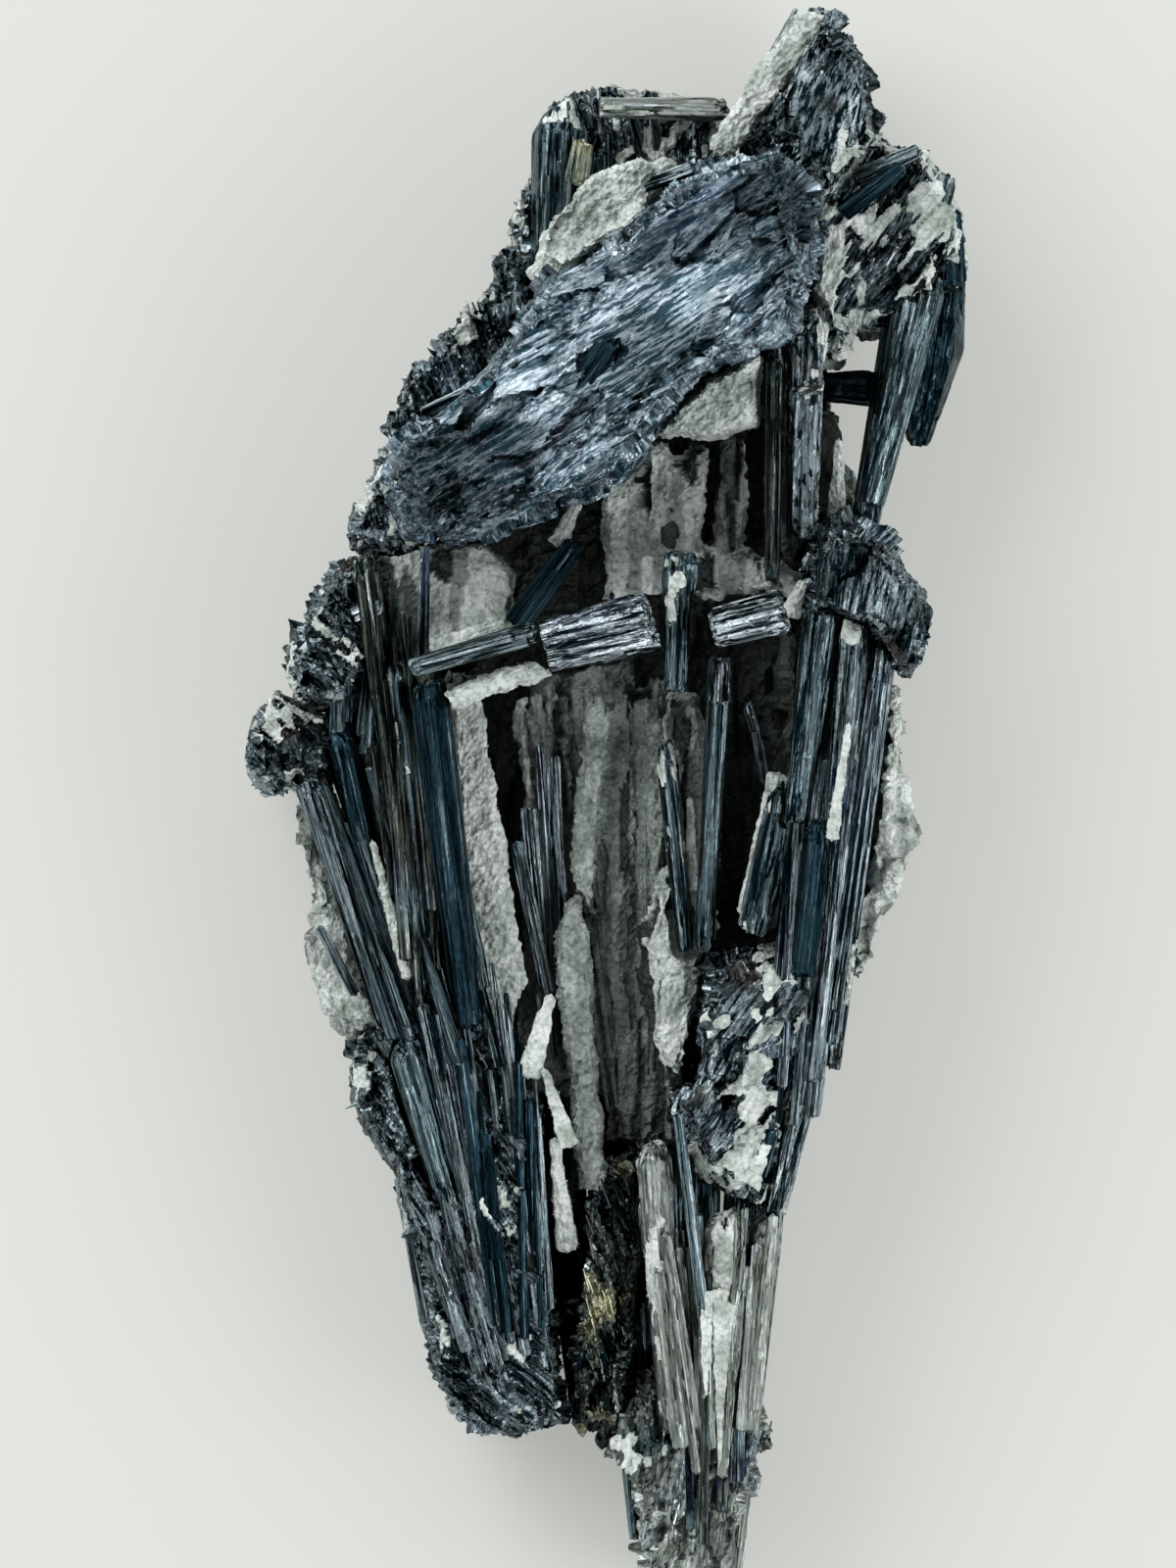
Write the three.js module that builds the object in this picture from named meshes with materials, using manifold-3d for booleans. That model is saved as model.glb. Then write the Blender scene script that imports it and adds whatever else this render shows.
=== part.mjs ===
// A spray of stibnite crystals, partly coated with drusy quartz, lying on its back.
// Long, flattened, striated blades fan out from a narrow foot, a thick slab of fine crystals
// leans across the top, and a hollow in the middle holds blades coated with white quartz.
//
// Millimetres, +Z up. X runs across the spray, Y runs from the foot to the summit, and Z runs
// from the surface that the spray lies on to its front. The crystals are laid out on axes whose
// zero is the middle of the spray, and the whole group is shifted at the end so that its origin
// is the middle of the underside.

import * as THREE from 'three';
import { ConvexGeometry } from 'three/addons/geometries/ConvexGeometry.js';
import { mergeVertices } from 'three/addons/utils/BufferGeometryUtils.js';
import Module from 'manifold-3d';

const wasm = await Module();
wasm.setup();

// ---------------------------------------------------------------- driving dimensions

const GAP = 0.3; // clearance between two crystals that touch
const WELD = 1e-4; // vertices closer than this are one vertex
const SLIVER = 0.12; // detail smaller than this is dropped from a cut crystal

const BACK_DEPTH = 12; // thickness of the blades that the spray lies on
const LINING_BACK = 10; // height of the underside of the quartz lining
const FLOOR_TOP = 15; // height of the bottom of the middle hollow
const ROD_HEIGHT = 22; // height of the axes of the coated rods in the hollow
const FAN_HEIGHT = 31; // height of the axes of the left fan
const LIMB_HEIGHT = 33; // height of the axes of the right limb
const BAR_HEIGHT = 43; // height of the axes of the crystals that lie across the middle
const SLAB_FRONT = 51; // highest point of the leaning slab

// ---------------------------------------------------------------- materials

const metallic = (color, roughness) =>
  new THREE.MeshStandardMaterial({ color, roughness, metalness: 0.9 });

const MATERIALS = {
  blade: () => metallic(0x2f3d4a, 0.3), // clean striated stibnite
  deep: () => metallic(0x1c2f42, 0.25), // blue-black polished stibnite
  granular: () => metallic(0x3a4348, 0.55), // masses of fine stibnite crystals
  tarnished: () => metallic(0x4a4a3e, 0.45), // olive-brown stibnite
  druse: () => new THREE.MeshStandardMaterial({ color: 0xc8c7be, roughness: 0.85, metalness: 0 }),
};

// ---------------------------------------------------------------- shapes

// Cross-section of a flattened stibnite crystal, one unit wide and one unit deep.
const SECTION = [
  [0.5, 0.16],
  [0.33, 0.5],
  [-0.3, 0.5],
  [-0.5, 0.2],
  [-0.5, -0.2],
  [-0.3, -0.5],
  [0.33, -0.5],
  [0.5, -0.18],
];

// A crystal from its root to its tip. Its width lies across the spray and its depth faces the
// front, until roll (degrees) turns it about its axis. Its root is scaled by root, and its tip
// by tip over the last shoulder millimetres. A broken tip leans by cut. The underside of a
// level crystal stays flat while its ends narrow.
function crystal(
  from, to, width, depth,
  { roll = 0, root = 0.8, tip = 0.5, shoulder = 3, cut = 0.3, level = false } = {},
) {
  return (grow) => {
    const start = new THREE.Vector3(...from);
    const along = new THREE.Vector3(...to).sub(start);
    const length = along.length();
    along.normalize();
    const across = new THREE.Vector3().crossVectors(along, new THREE.Vector3(0, 0, 1)).normalize();
    const face = new THREE.Vector3().crossVectors(across, along);
    across.applyAxisAngle(along, THREE.MathUtils.degToRad(roll));
    face.applyAxisAngle(along, THREE.MathUtils.degToRad(roll));
    const rings = [
      [-grow, root],
      [length - Math.min(shoulder, length * 0.4), 1],
      [length + grow, tip],
    ];
    const points = [];
    for (const [distance, scale] of rings) {
      for (const [u, v] of SECTION) {
        const sideways = u * width * scale + Math.sign(u) * grow;
        const share = level && v < 0 ? 1 : scale;
        const forward = v * depth * share + Math.sign(v) * grow;
        const lean = distance === length + grow ? cut * u * width : 0;
        points.push(
          start
            .clone()
            .addScaledVector(along, distance - Math.abs(lean) + lean)
            .addScaledVector(across, sideways)
            .addScaledVector(face, forward),
        );
      }
    }
    return new ConvexGeometry(points);
  };
}

// Moves an outline's corners outwards by a distance.
function widened(outline, distance) {
  const count = outline.length;
  return outline.map(([x, y], i) => {
    const [px, py] = outline[(i + count - 1) % count];
    const [nx, ny] = outline[(i + 1) % count];
    const before = new THREE.Vector2(y - py, px - x).normalize();
    const after = new THREE.Vector2(ny - y, x - nx).normalize();
    const middle = before.clone().add(after);
    middle.multiplyScalar(distance / Math.max(0.5, 1 + before.dot(after)));
    return new THREE.Vector2(x + middle.x, y + middle.y);
  });
}

// A mass of small crystals: an outline, counter-clockwise, raised from back to front, drawn in
// at both faces, leaning by tilt (rise per millimetre in x and y) and uneven by wave.
function mass(outline, back, front, { under = 0.86, crown = 0.8, tilt = [0, 0], wave = 0.8 } = {}) {
  return (grow) => {
    const shape = new THREE.Shape(widened(outline, grow));
    const depth = front - back + 2 * grow;
    const geometry = new THREE.ExtrudeGeometry(shape, { depth, steps: 3, bevelEnabled: false });
    const middle = new THREE.Vector2();
    for (const [x, y] of outline) {
      middle.add(new THREE.Vector2(x, y).divideScalar(outline.length));
    }
    const layers = [under, 1, 0.97, crown];
    const position = geometry.getAttribute('position');
    for (let i = 0; i < position.count; i += 1) {
      const x = position.getX(i);
      const y = position.getY(i);
      const height = position.getZ(i) / depth;
      const scale = layers[Math.round(height * 3)];
      const ripple = wave * Math.sin(0.9 * x + 0.55 * y + 5 * height) * height;
      const lean = tilt[0] * (x - middle.x) + tilt[1] * (y - middle.y);
      position.setXYZ(
        i,
        middle.x + (x - middle.x) * scale,
        middle.y + (y - middle.y) * scale,
        back - grow + height * (depth + lean + ripple),
      );
    }
    return geometry;
  };
}

// ---------------------------------------------------------------- joining and cutting

function solidOf(geometry) {
  geometry.deleteAttribute('normal');
  geometry.deleteAttribute('uv');
  const merged = mergeVertices(geometry, WELD);
  return new wasm.Manifold(
    new wasm.Mesh({
      numProp: 3,
      vertProperties: merged.getAttribute('position').array,
      triVerts: new Uint32Array(merged.index.array),
    }),
  );
}

// The union of all the shapes of one piece, grown outwards by a distance.
function joined(shapes, grow) {
  return shapes.map((shape) => solidOf(shape(grow))).reduce((whole, next) => whole.add(next));
}

function largestPart(solid) {
  return solid.decompose().reduce((best, part) => (part.volume() > best.volume() ? part : best));
}

function geometryOf(solid) {
  const { vertProperties, triVerts } = solid.getMesh();
  const geometry = new THREE.BufferGeometry();
  geometry.setAttribute('position', new THREE.BufferAttribute(vertProperties, 3));
  geometry.setIndex(new THREE.BufferAttribute(triVerts, 1));
  const faceted = geometry.toNonIndexed();
  faceted.computeVertexNormals();
  return faceted;
}

function boxesMeet(a, b) {
  return [0, 1, 2].every((i) => a.min[i] < b.max[i] && b.min[i] < a.max[i]);
}

// The pieces are added from the front to the back. A piece gives way to the ones before it.
const group = new THREE.Group();
const placed = [];

function add(name, material, ...shapes) {
  let solid = joined(shapes, 0);
  const box = solid.boundingBox();
  for (const neighbour of placed) {
    if (boxesMeet(box, neighbour.box)) {
      solid = solid.subtract(neighbour.solid);
    }
  }
  solid = largestPart(solid.simplify(SLIVER));
  const room = joined(shapes, GAP);
  placed.push({ solid: room, box: room.boundingBox() });
  const mesh = new THREE.Mesh(geometryOf(solid), MATERIALS[material]());
  mesh.name = name;
  group.add(mesh);
}

// ---------------------------------------------------------------- crystals across the middle

add(
  'cross_bright_prism', 'blade',
  crystal(
    [10.6, 19.4, BAR_HEIGHT], [20.2, 21.9, BAR_HEIGHT + 1], 6, 6,
    { tip: 0.98, root: 0.9, shoulder: 0.5, cut: 0.08 },
  ),
);
add(
  'cross_dark_post', 'blade',
  crystal([6.2, 11.5, BAR_HEIGHT - 4], [6.2, 29.5, BAR_HEIGHT - 3], 4, 5, { tip: 0.75, cut: 0 }),
  crystal([7.4, 24, BAR_HEIGHT - 3], [7.6, 29.7, BAR_HEIGHT - 2.5], 4.4, 4, { tip: 0.6 }),
);
add(
  'cross_prism', 'blade',
  crystal(
    [-10.5, 17.2, BAR_HEIGHT], [3.6, 20.7, BAR_HEIGHT + 1], 8, 8,
    { tip: 0.97, shoulder: 0.6, cut: 0.05, roll: 12 },
  ),
);
add(
  'cross_blade', 'blade',
  crystal(
    [-27.4, 14.5, BAR_HEIGHT - 1], [-10.4, 19.4, BAR_HEIGHT], 3.1, 3.6,
    { tip: 0.9, roll: 15 },
  ),
);
add(
  'cross_coated_plate', 'druse',
  crystal(
    [-22.6, 10.4, BAR_HEIGHT - 4], [-9.6, 15, BAR_HEIGHT - 3], 3.8, 2.6,
    { tip: 0.8, cut: 0.5 },
  ),
);

// ---------------------------------------------------------------- leaning slab

add(
  'leaning_slab', 'granular',
  mass(
    [
      [-31, 37], [-28, 31.5], [-20, 29.5], [-10, 34], [-3, 37], [3, 43.5], [10, 51], [20, 56],
      [24.5, 64], [24.5, 76], [20, 81], [7, 77], [1, 70.5], [-9, 65], [-18, 53], [-30, 42.5],
    ],
    31, SLAB_FRONT, { tilt: [0.12, 0.02], crown: 0.86, under: 0.8, wave: 1.2 },
  ),
);

// ---------------------------------------------------------------- right limb

add(
  'limb_head', 'granular',
  mass(
    [
      [30.6, 19.4], [34.5, 14], [36.3, 13], [38, 18], [39, 21.5], [38, 24], [36.5, 26], [35, 28.5],
      [33, 31.5], [29, 34.4], [25, 33], [22.4, 28], [22.8, 22],
    ],
    9, 44, { crown: 0.8 },
  ),
);
add(
  'limb_inner_blade', 'blade',
  crystal(
    [21.6, -5, LIMB_HEIGHT + 2], [25.4, 24, LIMB_HEIGHT + 4], 5.6, 10,
    { tip: 0.75, root: 0.65, roll: -8 },
  ),
);
add(
  'limb_middle_blade', 'blade',
  crystal(
    [23.6, -40, LIMB_HEIGHT - 2], [29.4, 34.3, LIMB_HEIGHT + 4], 5, 11,
    { tip: 0.7, root: 0.55 },
  ),
);
add(
  'limb_outer_blade', 'blade',
  crystal(
    [25.4, -36, LIMB_HEIGHT - 7], [33.5, 31, LIMB_HEIGHT], 4.6, 12,
    { tip: 0.7, root: 0.75, roll: 10 },
  ),
);
add(
  'polished_blade', 'deep',
  crystal(
    [22.2, -24.6, LIMB_HEIGHT + 2], [24.8, -4, LIMB_HEIGHT + 3.5], 5, 5.5,
    { tip: 0.85, cut: 0.2 },
  ),
);
add(
  'leaning_blade', 'tarnished',
  crystal(
    [15.8, -19, LIMB_HEIGHT], [21.8, 1, LIMB_HEIGHT + 2.5], 6.4, 6,
    { tip: 0.6, cut: 0.2, root: 0.65 },
  ),
);
add(
  'limb_coated_flank', 'druse',
  mass(
    [
      [29, -10], [28, -25], [30, -26], [31, -18], [34, -16],
      [36.5, -10], [37, -6], [36, -1], [34.6, 4],
      [35.2, 9], [34.5, 13], [32.5, 12], [31.5, 2],
    ],
    5, 33, { crown: 0.84 },
  ),
);

// ---------------------------------------------------------------- left fan

add(
  'deep_blue_blade', 'deep',
  crystal(
    [-19.8, -31, FAN_HEIGHT], [-25.2, 13.2, FAN_HEIGHT + 6], 5, 6.5,
    { tip: 0.85, cut: 0.1, roll: -6 },
  ),
);

// Blades of the fan, from the middle of the spray to its left edge: root x and y, tip x and y,
// width, and how far each lies above or below the fan.
const FAN = [
  ['fan_grained_blade', 'granular', [-24.6, -27], [-29.2, 16], 3.6, 2],
  ['fan_olive_blade', 'tarnished', [-25.6, -29], [-33.4, 29.5], 3.2, 3],
  ['fan_dark_blade', 'deep', [-28.6, -29], [-36.4, 7.5], 4.2, 0],
  ['fan_edge_blade', 'blade', [-30.6, -31], [-40.6, 1], 3.4, 1],
];
for (const [name, material, root, tip, width, rise] of FAN) {
  add(
    name, material,
    crystal(
      [...root, FAN_HEIGHT + rise - 3], [...tip, FAN_HEIGHT + rise], width, 6,
      { tip: 0.7, root: 0.7, roll: -12, cut: 0.2 },
    ),
  );
}
add(
  'fan_coated_flank', 'druse',
  mass(
    [
      [-42.6, 1], [-42, -5], [-40.4, -14], [-41.5, -20],
      [-38.5, -30], [-36, -33.5], [-31, -32], [-34, -18],
      [-37, -4], [-38, 1],
    ],
    5, 30, { crown: 0.85 },
  ),
);

// ---------------------------------------------------------------- left shoulder

add(
  'shoulder_upper_mass', 'granular',
  mass(
    [
      [-43.5, 14], [-42, 9.5], [-35, 8.6], [-31.6, 13],
      [-33, 28], [-36.8, 28.4], [-39.6, 24], [-42.8, 17],
    ],
    5, 36, { crown: 0.74 },
  ),
  crystal([-39.5, 20.2, 33], [-33.2, 23.6, 35], 2.8, 3, { tip: 0.95, shoulder: 0.5, cut: 0 }),
);
add(
  'shoulder_lower_mass', 'granular',
  mass(
    [
      [-48.8, 2], [-46, -1.2], [-42, 0], [-37, 1], [-35, 5],
      [-36, 8.5], [-41, 9.2], [-45, 12], [-47, 9.5],
      [-48.6, 6],
    ],
    5, 32, { crown: 0.8 },
  ),
);
add(
  'window_druse', 'druse',
  mass(
    [
      [-33, 28.8], [-29, 16], [-22, 15], [-14.6, 18], [-13.8, 27], [-18, 31], [-27, 30.5],
    ],
    14, 31, { crown: 0.95, tilt: [-0.3, 0] },
  ),
);

// ---------------------------------------------------------------- under the slab

add(
  'olive_edge_blade', 'tarnished',
  crystal([18.4, 25.6, 35], [18.8, 56, 38], 2.6, 7, { tip: 0.7 }),
);
add(
  'upright_blade', 'blade',
  crystal([22.2, 31, 34], [22.5, 57.4, 38], 5, 7, { tip: 0.9, cut: 0.1 }),
  crystal([23.3, 50, 37], [23.7, 60.6, 39], 4.2, 5, { tip: 0.6 }),
);
add(
  'hanging_shelf', 'druse',
  mass(
    [
      [3.4, 44], [10, 43.2], [17, 45], [17.3, 54.5], [11, 54], [5.5, 49],
    ],
    29, 40, { crown: 0.9, tilt: [0, 0.2] },
  ),
);
add(
  'hanging_rods', 'druse',
  crystal([-1.4, 23, 28], [-0.6, 41.5, 31], 5.2, 6, { tip: 0.7 }),
  crystal([3.4, 28, 28], [4.2, 44.6, 31], 4.4, 5, { tip: 0.7 }),
  crystal([7.9, 28, 28], [9.2, 44.8, 31], 4.6, 5, { tip: 0.7 }),
  crystal([13, 26, 25], [13.4, 46, 26], 6, 4, { tip: 0.9 }),
  mass(
    [
      [-3, 24], [14, 23.6], [19.6, 24.6], [23.4, 21.5],
      [23.6, 25.6], [19.4, 28.6], [14, 30.6], [-2, 30],
    ],
    20, 33, { crown: 0.85 },
  ),
);

// ---------------------------------------------------------------- right upper crystals

add(
  'right_upper_blade', 'blade',
  crystal([30.4, 33.4, 26], [37.4, 65.6, 31], 7.2, 8, { tip: 0.8, root: 0.5, cut: 0.25, roll: 8 }),
);
add(
  'right_outer_blade', 'deep',
  crystal([37.4, 43.5, 19], [40, 64.6, 23], 8.8, 12, { tip: 0.8, root: 0.35, cut: 0.1, shoulder: 9 }),
);
add(
  'window_crystal', 'deep',
  crystal([25, 50.8, 22], [33.6, 50.4, 24], 4.8, 7, { tip: 0.9 }),
);
add(
  'head_mass', 'granular',
  mass(
    [
      [23, 60], [24, 54], [27, 53.6], [28.8, 57.8], [33.2, 58.4], [40, 62], [42.8, 66], [43.4, 70],
      [41, 76.5], [38, 81], [33.6, 81.6], [31, 84], [26, 82], [21, 74],
    ],
    5, 38, { crown: 0.84, tilt: [-0.1, 0] },
  ),
);

// ---------------------------------------------------------------- summit

add(
  'spire_coated_blade', 'druse',
  crystal([11.4, 79.3, 38], [24, 98.2, 37], 5, 4.5, { tip: 0.55, roll: 10 }),
);
add(
  'spire_mass', 'granular',
  mass(
    [
      [14.5, 82], [19, 75], [27, 74], [32.6, 80.5], [31.6, 86.4],
      [30, 92.4], [26.8, 98], [24, 99.4], [21, 93],
    ],
    8, 42, { crown: 0.8, tilt: [-0.1, -0.2] },
  ),
);
add(
  'tower_bar', 'tarnished',
  crystal([-3.6, 86, 32], [13.2, 85.8, 31], 3.3, 4.5, { tip: 0.9, cut: 0.1 }),
);
add(
  'tower_blade', 'blade',
  crystal([-9.4, 60, 26], [-8.2, 87.6, 27], 7, 7, { tip: 0.6, roll: -14, shoulder: 5 }),
);
add(
  'tower_druse', 'druse',
  mass(
    [
      [-12, 66], [-9, 64.6], [-3, 67.4], [2, 71], [4, 75],
      [4.8, 78.6], [2, 80.4], [-5, 77.2], [-11.4, 69.8],
    ],
    25, 38, { crown: 0.86, tilt: [0.1, 0] },
  ),
);
add(
  'tower_mass', 'granular',
  mass(
    [
      [-15.3, 70], [-11, 62], [-2, 62], [10, 70], [14, 78],
      [13.2, 85], [6.5, 88], [2.6, 89], [-2, 90],
      [-6, 88.6], [-8.6, 87], [-11.2, 82.5], [-12.8, 76],
    ],
    7, 28, { crown: 0.92, under: 0.78 },
  ),
);
add(
  'flank_upper_mass', 'granular',
  mass(
    [
      [-35.8, 30], [-28, 28.6], [-15, 42], [-6, 58],
      [-9, 66], [-15.4, 69.4], [-17, 64], [-20, 60.6],
      [-24.5, 55.2], [-29.3, 49.8], [-31, 42], [-35.4, 34],
    ],
    4, 33, { crown: 0.88 },
  ),
);

// ---------------------------------------------------------------- middle hollow

add(
  'coated_blade', 'druse',
  crystal(
    [-20.5, 11.4, FAN_HEIGHT - 1], [-16, -35, FAN_HEIGHT - 5], 9, 4,
    { tip: 0.2, root: 0.47, shoulder: 9 },
  ),
);
add(
  'hollow_great_rod', 'druse',
  crystal(
    [-4.4, -52, ROD_HEIGHT + 2], [-7.4, -14, ROD_HEIGHT + 4], 5.4, 6,
    { tip: 0.5, shoulder: 5 },
  ),
);
// Coated rods that have grown together: root x and y, tip x and y, width, rise.
const RODS = [
  [[-8, -22], [-13.6, 11.4], 3.2, 1],
  [[-6.6, -22], [-9.4, 14], 3.6, -1],
  [[-5.8, -22], [-3.6, 12], 4.4, 3],
  [[-1, -44], [-0.6, 14], 5.2, -1],
  [[5, -42], [3.6, 8], 3.4, 0],
];
add(
  'hollow_rods', 'druse',
  ...RODS.map(([root, tip, width, rise]) => crystal(
    [...root, ROD_HEIGHT + rise - 2], [...tip, ROD_HEIGHT + rise + 1], width, 5,
    { tip: 0.6, root: 0.65 },
  )),
  crystal([-9, -40, ROD_HEIGHT - 3.6], [-6, 16, ROD_HEIGHT - 3.6], 14, 6, { tip: 0.9 }),
  crystal([2, -46, ROD_HEIGHT - 3.6], [2, 14, ROD_HEIGHT - 3.6], 12, 6, { tip: 0.9 }),
);
add(
  'inner_bright_blade', 'blade',
  crystal(
    [9.8, -21, FAN_HEIGHT - 1], [11.8, 16.2, FAN_HEIGHT + 4], 3.2, 4,
    { tip: 0.95, shoulder: 0.5, cut: 0.1 },
  ),
);
add(
  'inner_dark_blade', 'deep',
  crystal([7.6, -21.5, FAN_HEIGHT - 2], [4.8, 5.7, FAN_HEIGHT], 2.9, 3.6, { tip: 0.7 }),
);

add(
  'inner_druse', 'druse',
  mass([[4.2, 4], [5.6, -3], [6, -12], [12.6, -12], [11, 4], [9.4, 12.4], [4.4, 12.6]], 17, 28),
  mass(
    [[1.6, -20], [3.8, -36], [6.6, -40], [10, -28], [12.6, -17], [10, -8], [4, -10]],
    15, 30, { crown: 0.8 },
  ),
);

// ---------------------------------------------------------------- lower masses and foot

add(
  'lower_left_blade', 'deep',
  crystal([-22.6, -53, 28], [-28.6, -32, 32], 5, 5.5, { tip: 0.8, roll: -10 }),
);
add(
  'lower_left_mass', 'granular',
  mass(
    [
      [-35.6, -40], [-34, -43.4], [-30.4, -49], [-27, -61],
      [-12, -60], [-11, -44], [-14.5, -33], [-24, -28.6],
      [-35, -31],
    ],
    3, 30, { crown: 0.84, tilt: [0.1, 0] },
  ),
);
add(
  'lower_left_lobe', 'granular',
  mass(
    [
      [-25.4, -75], [-22, -82], [-19, -83.6], [-10, -83], [-7.2, -82], [-9, -72], [-10.4, -57],
      [-18, -56], [-27.6, -57],
    ],
    2, 28, { crown: 0.86 },
  ),
);
add(
  'foot_fibrous_blade', 'tarnished',
  crystal([6, -83, 24], [3.2, -45, 29], 5, 7, { tip: 0.6, roll: 6 }),
);
add(
  'foot_pale_blade', 'tarnished',
  crystal([9.6, -86, 23], [12.6, -54, 29], 5, 6, { tip: 0.7 }),
);
add(
  'foot_edge_blade', 'blade',
  crystal([12.6, -105, 12], [18.2, -54, 24], 4.4, 13, { tip: 0.7, root: 0.9 }),
);
add(
  'lower_edge_blade', 'blade',
  crystal([17.2, -60, 22], [24.8, -27, 29], 4.6, 11, { tip: 0.7, roll: 8 }),
);
add(
  'lower_right_mass', 'granular',
  mass(
    [
      [6.2, -42], [10, -51], [17, -55], [20, -45], [23.4, -36],
      [24.4, -25], [19, -20.4], [10.4, -22], [9, -33],
    ],
    10, 36, { crown: 0.82, tilt: [0, 0.12] },
  ),
);
add(
  'foot_gilded_mass', 'tarnished',
  mass(
    [
      [-6.6, -70], [-5.6, -83], [-1, -84.6], [0.6, -75],
      [2.6, -50], [4.8, -43], [-1.8, -46.8], [-5.6, -54],
    ],
    6, 28, { crown: 0.86 },
  ),
);
add(
  'foot_mass', 'granular',
  mass(
    [
      [1.2, -94], [2.4, -105], [13, -105], [15.6, -92],
      [17.4, -83.4], [16, -76], [8, -72], [0.6, -77],
      [-3.4, -84.8], [0.4, -88],
    ],
    2, 26, { crown: 0.9, under: 0.9 },
  ),
);

// ---------------------------------------------------------------- quartz lining and back

// Drusy quartz that lines the hollow and fills the gaps between the crystals.
add(
  'quartz_lining', 'druse',
  mass(
    [
      [-39, -24], [-30, -32], [-10, -58], [4, -52], [26, -26],
      [32, 30], [24, 38], [25, 76], [14, 78],
      [-18, 44], [-39, 20],
    ],
    LINING_BACK, FLOOR_TOP, { crown: 0.96, under: 0.9 },
  ),
  mass(
    [
      [-39, -22], [-22, -30], [-17, 14], [-20, 30], [-34, 30], [-40, 4],
    ],
    LINING_BACK, 22, { crown: 0.94 },
  ),
  mass(
    [
      [18, -20], [24, -24], [30, 12], [31.4, 33], [28, 42],
      [27.4, 54], [20, 58], [16, 50], [20, 14],
    ],
    LINING_BACK, 24, { crown: 0.94 },
  ),
  mass(
    [
      [-12, 38], [10, 46], [21, 60], [24, 74], [14, 76], [-2, 62],
    ],
    LINING_BACK, 29, { crown: 0.9 },
  ),
);

// Blades that the spray lies on: root x and y, tip x and y, width. Their undersides are level.
const BACK = [
  [[-14, -80], [-31, 30], 20],
  [[-5.4, -82], [-12, -14], 9],
  [[3.6, -98], [-11, 68], 16],
  [[8, -101], [7, 82], 16],
  [[12, -99], [25, 42], 15],
];
BACK.forEach(([root, tip, width], i) => {
  const height = BACK_DEPTH / 2;
  add(
    `back_blade_${i + 1}`, 'blade',
    crystal(
      [...root, height], [...tip, height], width, BACK_DEPTH,
      { root: 0.4, tip: 0.6, shoulder: 8, level: true },
    ),
  );
});

// ---------------------------------------------------------------- origin

const bounds = new THREE.Box3().setFromObject(group);
const centre = bounds.getCenter(new THREE.Vector3());
group.position.set(-centre.x, -centre.y, -bounds.min.z);

export default group;
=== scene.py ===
"""A lying spray of stibnite crystals with drusy quartz, laid out as a Blender add-on.

The frame holds every crystal as a plain faceted solid at its real size. Each operator here turns
one group of those solids into finished minerals: striated blades, felted masses of fine needles
and sugary quartz crusts. Lengths are in metres. Names ending in _mm, and numbers whose comment
says mm, are in millimetres.
"""

import itertools
import math

import bmesh
import bpy
import numpy as np
from bpy.props import FloatProperty, FloatVectorProperty, IntProperty, PointerProperty
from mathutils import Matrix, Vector
from mathutils.bvhtree import BVHTree


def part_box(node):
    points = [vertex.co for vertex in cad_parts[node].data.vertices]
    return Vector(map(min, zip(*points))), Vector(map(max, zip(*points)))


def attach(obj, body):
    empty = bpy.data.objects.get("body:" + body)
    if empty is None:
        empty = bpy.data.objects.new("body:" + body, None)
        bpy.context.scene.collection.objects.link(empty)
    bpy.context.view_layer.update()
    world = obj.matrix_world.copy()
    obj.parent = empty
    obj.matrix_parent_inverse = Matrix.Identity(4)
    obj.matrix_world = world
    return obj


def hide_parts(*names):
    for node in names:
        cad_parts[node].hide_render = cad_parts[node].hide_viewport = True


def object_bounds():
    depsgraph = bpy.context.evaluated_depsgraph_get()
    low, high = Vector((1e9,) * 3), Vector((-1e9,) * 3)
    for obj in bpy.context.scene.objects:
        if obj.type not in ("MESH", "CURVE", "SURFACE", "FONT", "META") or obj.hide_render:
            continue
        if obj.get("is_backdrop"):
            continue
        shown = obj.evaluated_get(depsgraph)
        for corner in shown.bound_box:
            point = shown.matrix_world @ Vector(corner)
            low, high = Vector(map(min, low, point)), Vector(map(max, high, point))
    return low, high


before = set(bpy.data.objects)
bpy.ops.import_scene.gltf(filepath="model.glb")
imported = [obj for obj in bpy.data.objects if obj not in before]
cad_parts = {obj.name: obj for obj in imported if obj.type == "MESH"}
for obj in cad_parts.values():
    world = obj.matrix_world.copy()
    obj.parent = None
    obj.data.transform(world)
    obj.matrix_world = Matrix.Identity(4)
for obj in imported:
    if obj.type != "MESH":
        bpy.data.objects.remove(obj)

bl_info = {
    "name": "Stibnite crystal spray",
    "version": (1, 0, 0),
    "blender": (4, 5, 0),
    "location": "View3D > Sidebar > Stibnite",
    "description": "Finishes a packed spray of stibnite blades and drusy quartz",
    "category": "Object",
}

MM = 0.001
CAD_LOW, CAD_HIGH = (np.array(corner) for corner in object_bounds())
FOOT = np.array(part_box("foot_mass")[0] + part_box("foot_mass")[1]) / 2
UP = np.array((0.0, 0.0, 1.0))

# ---------------------------------------------------------------- what each solid becomes

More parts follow.
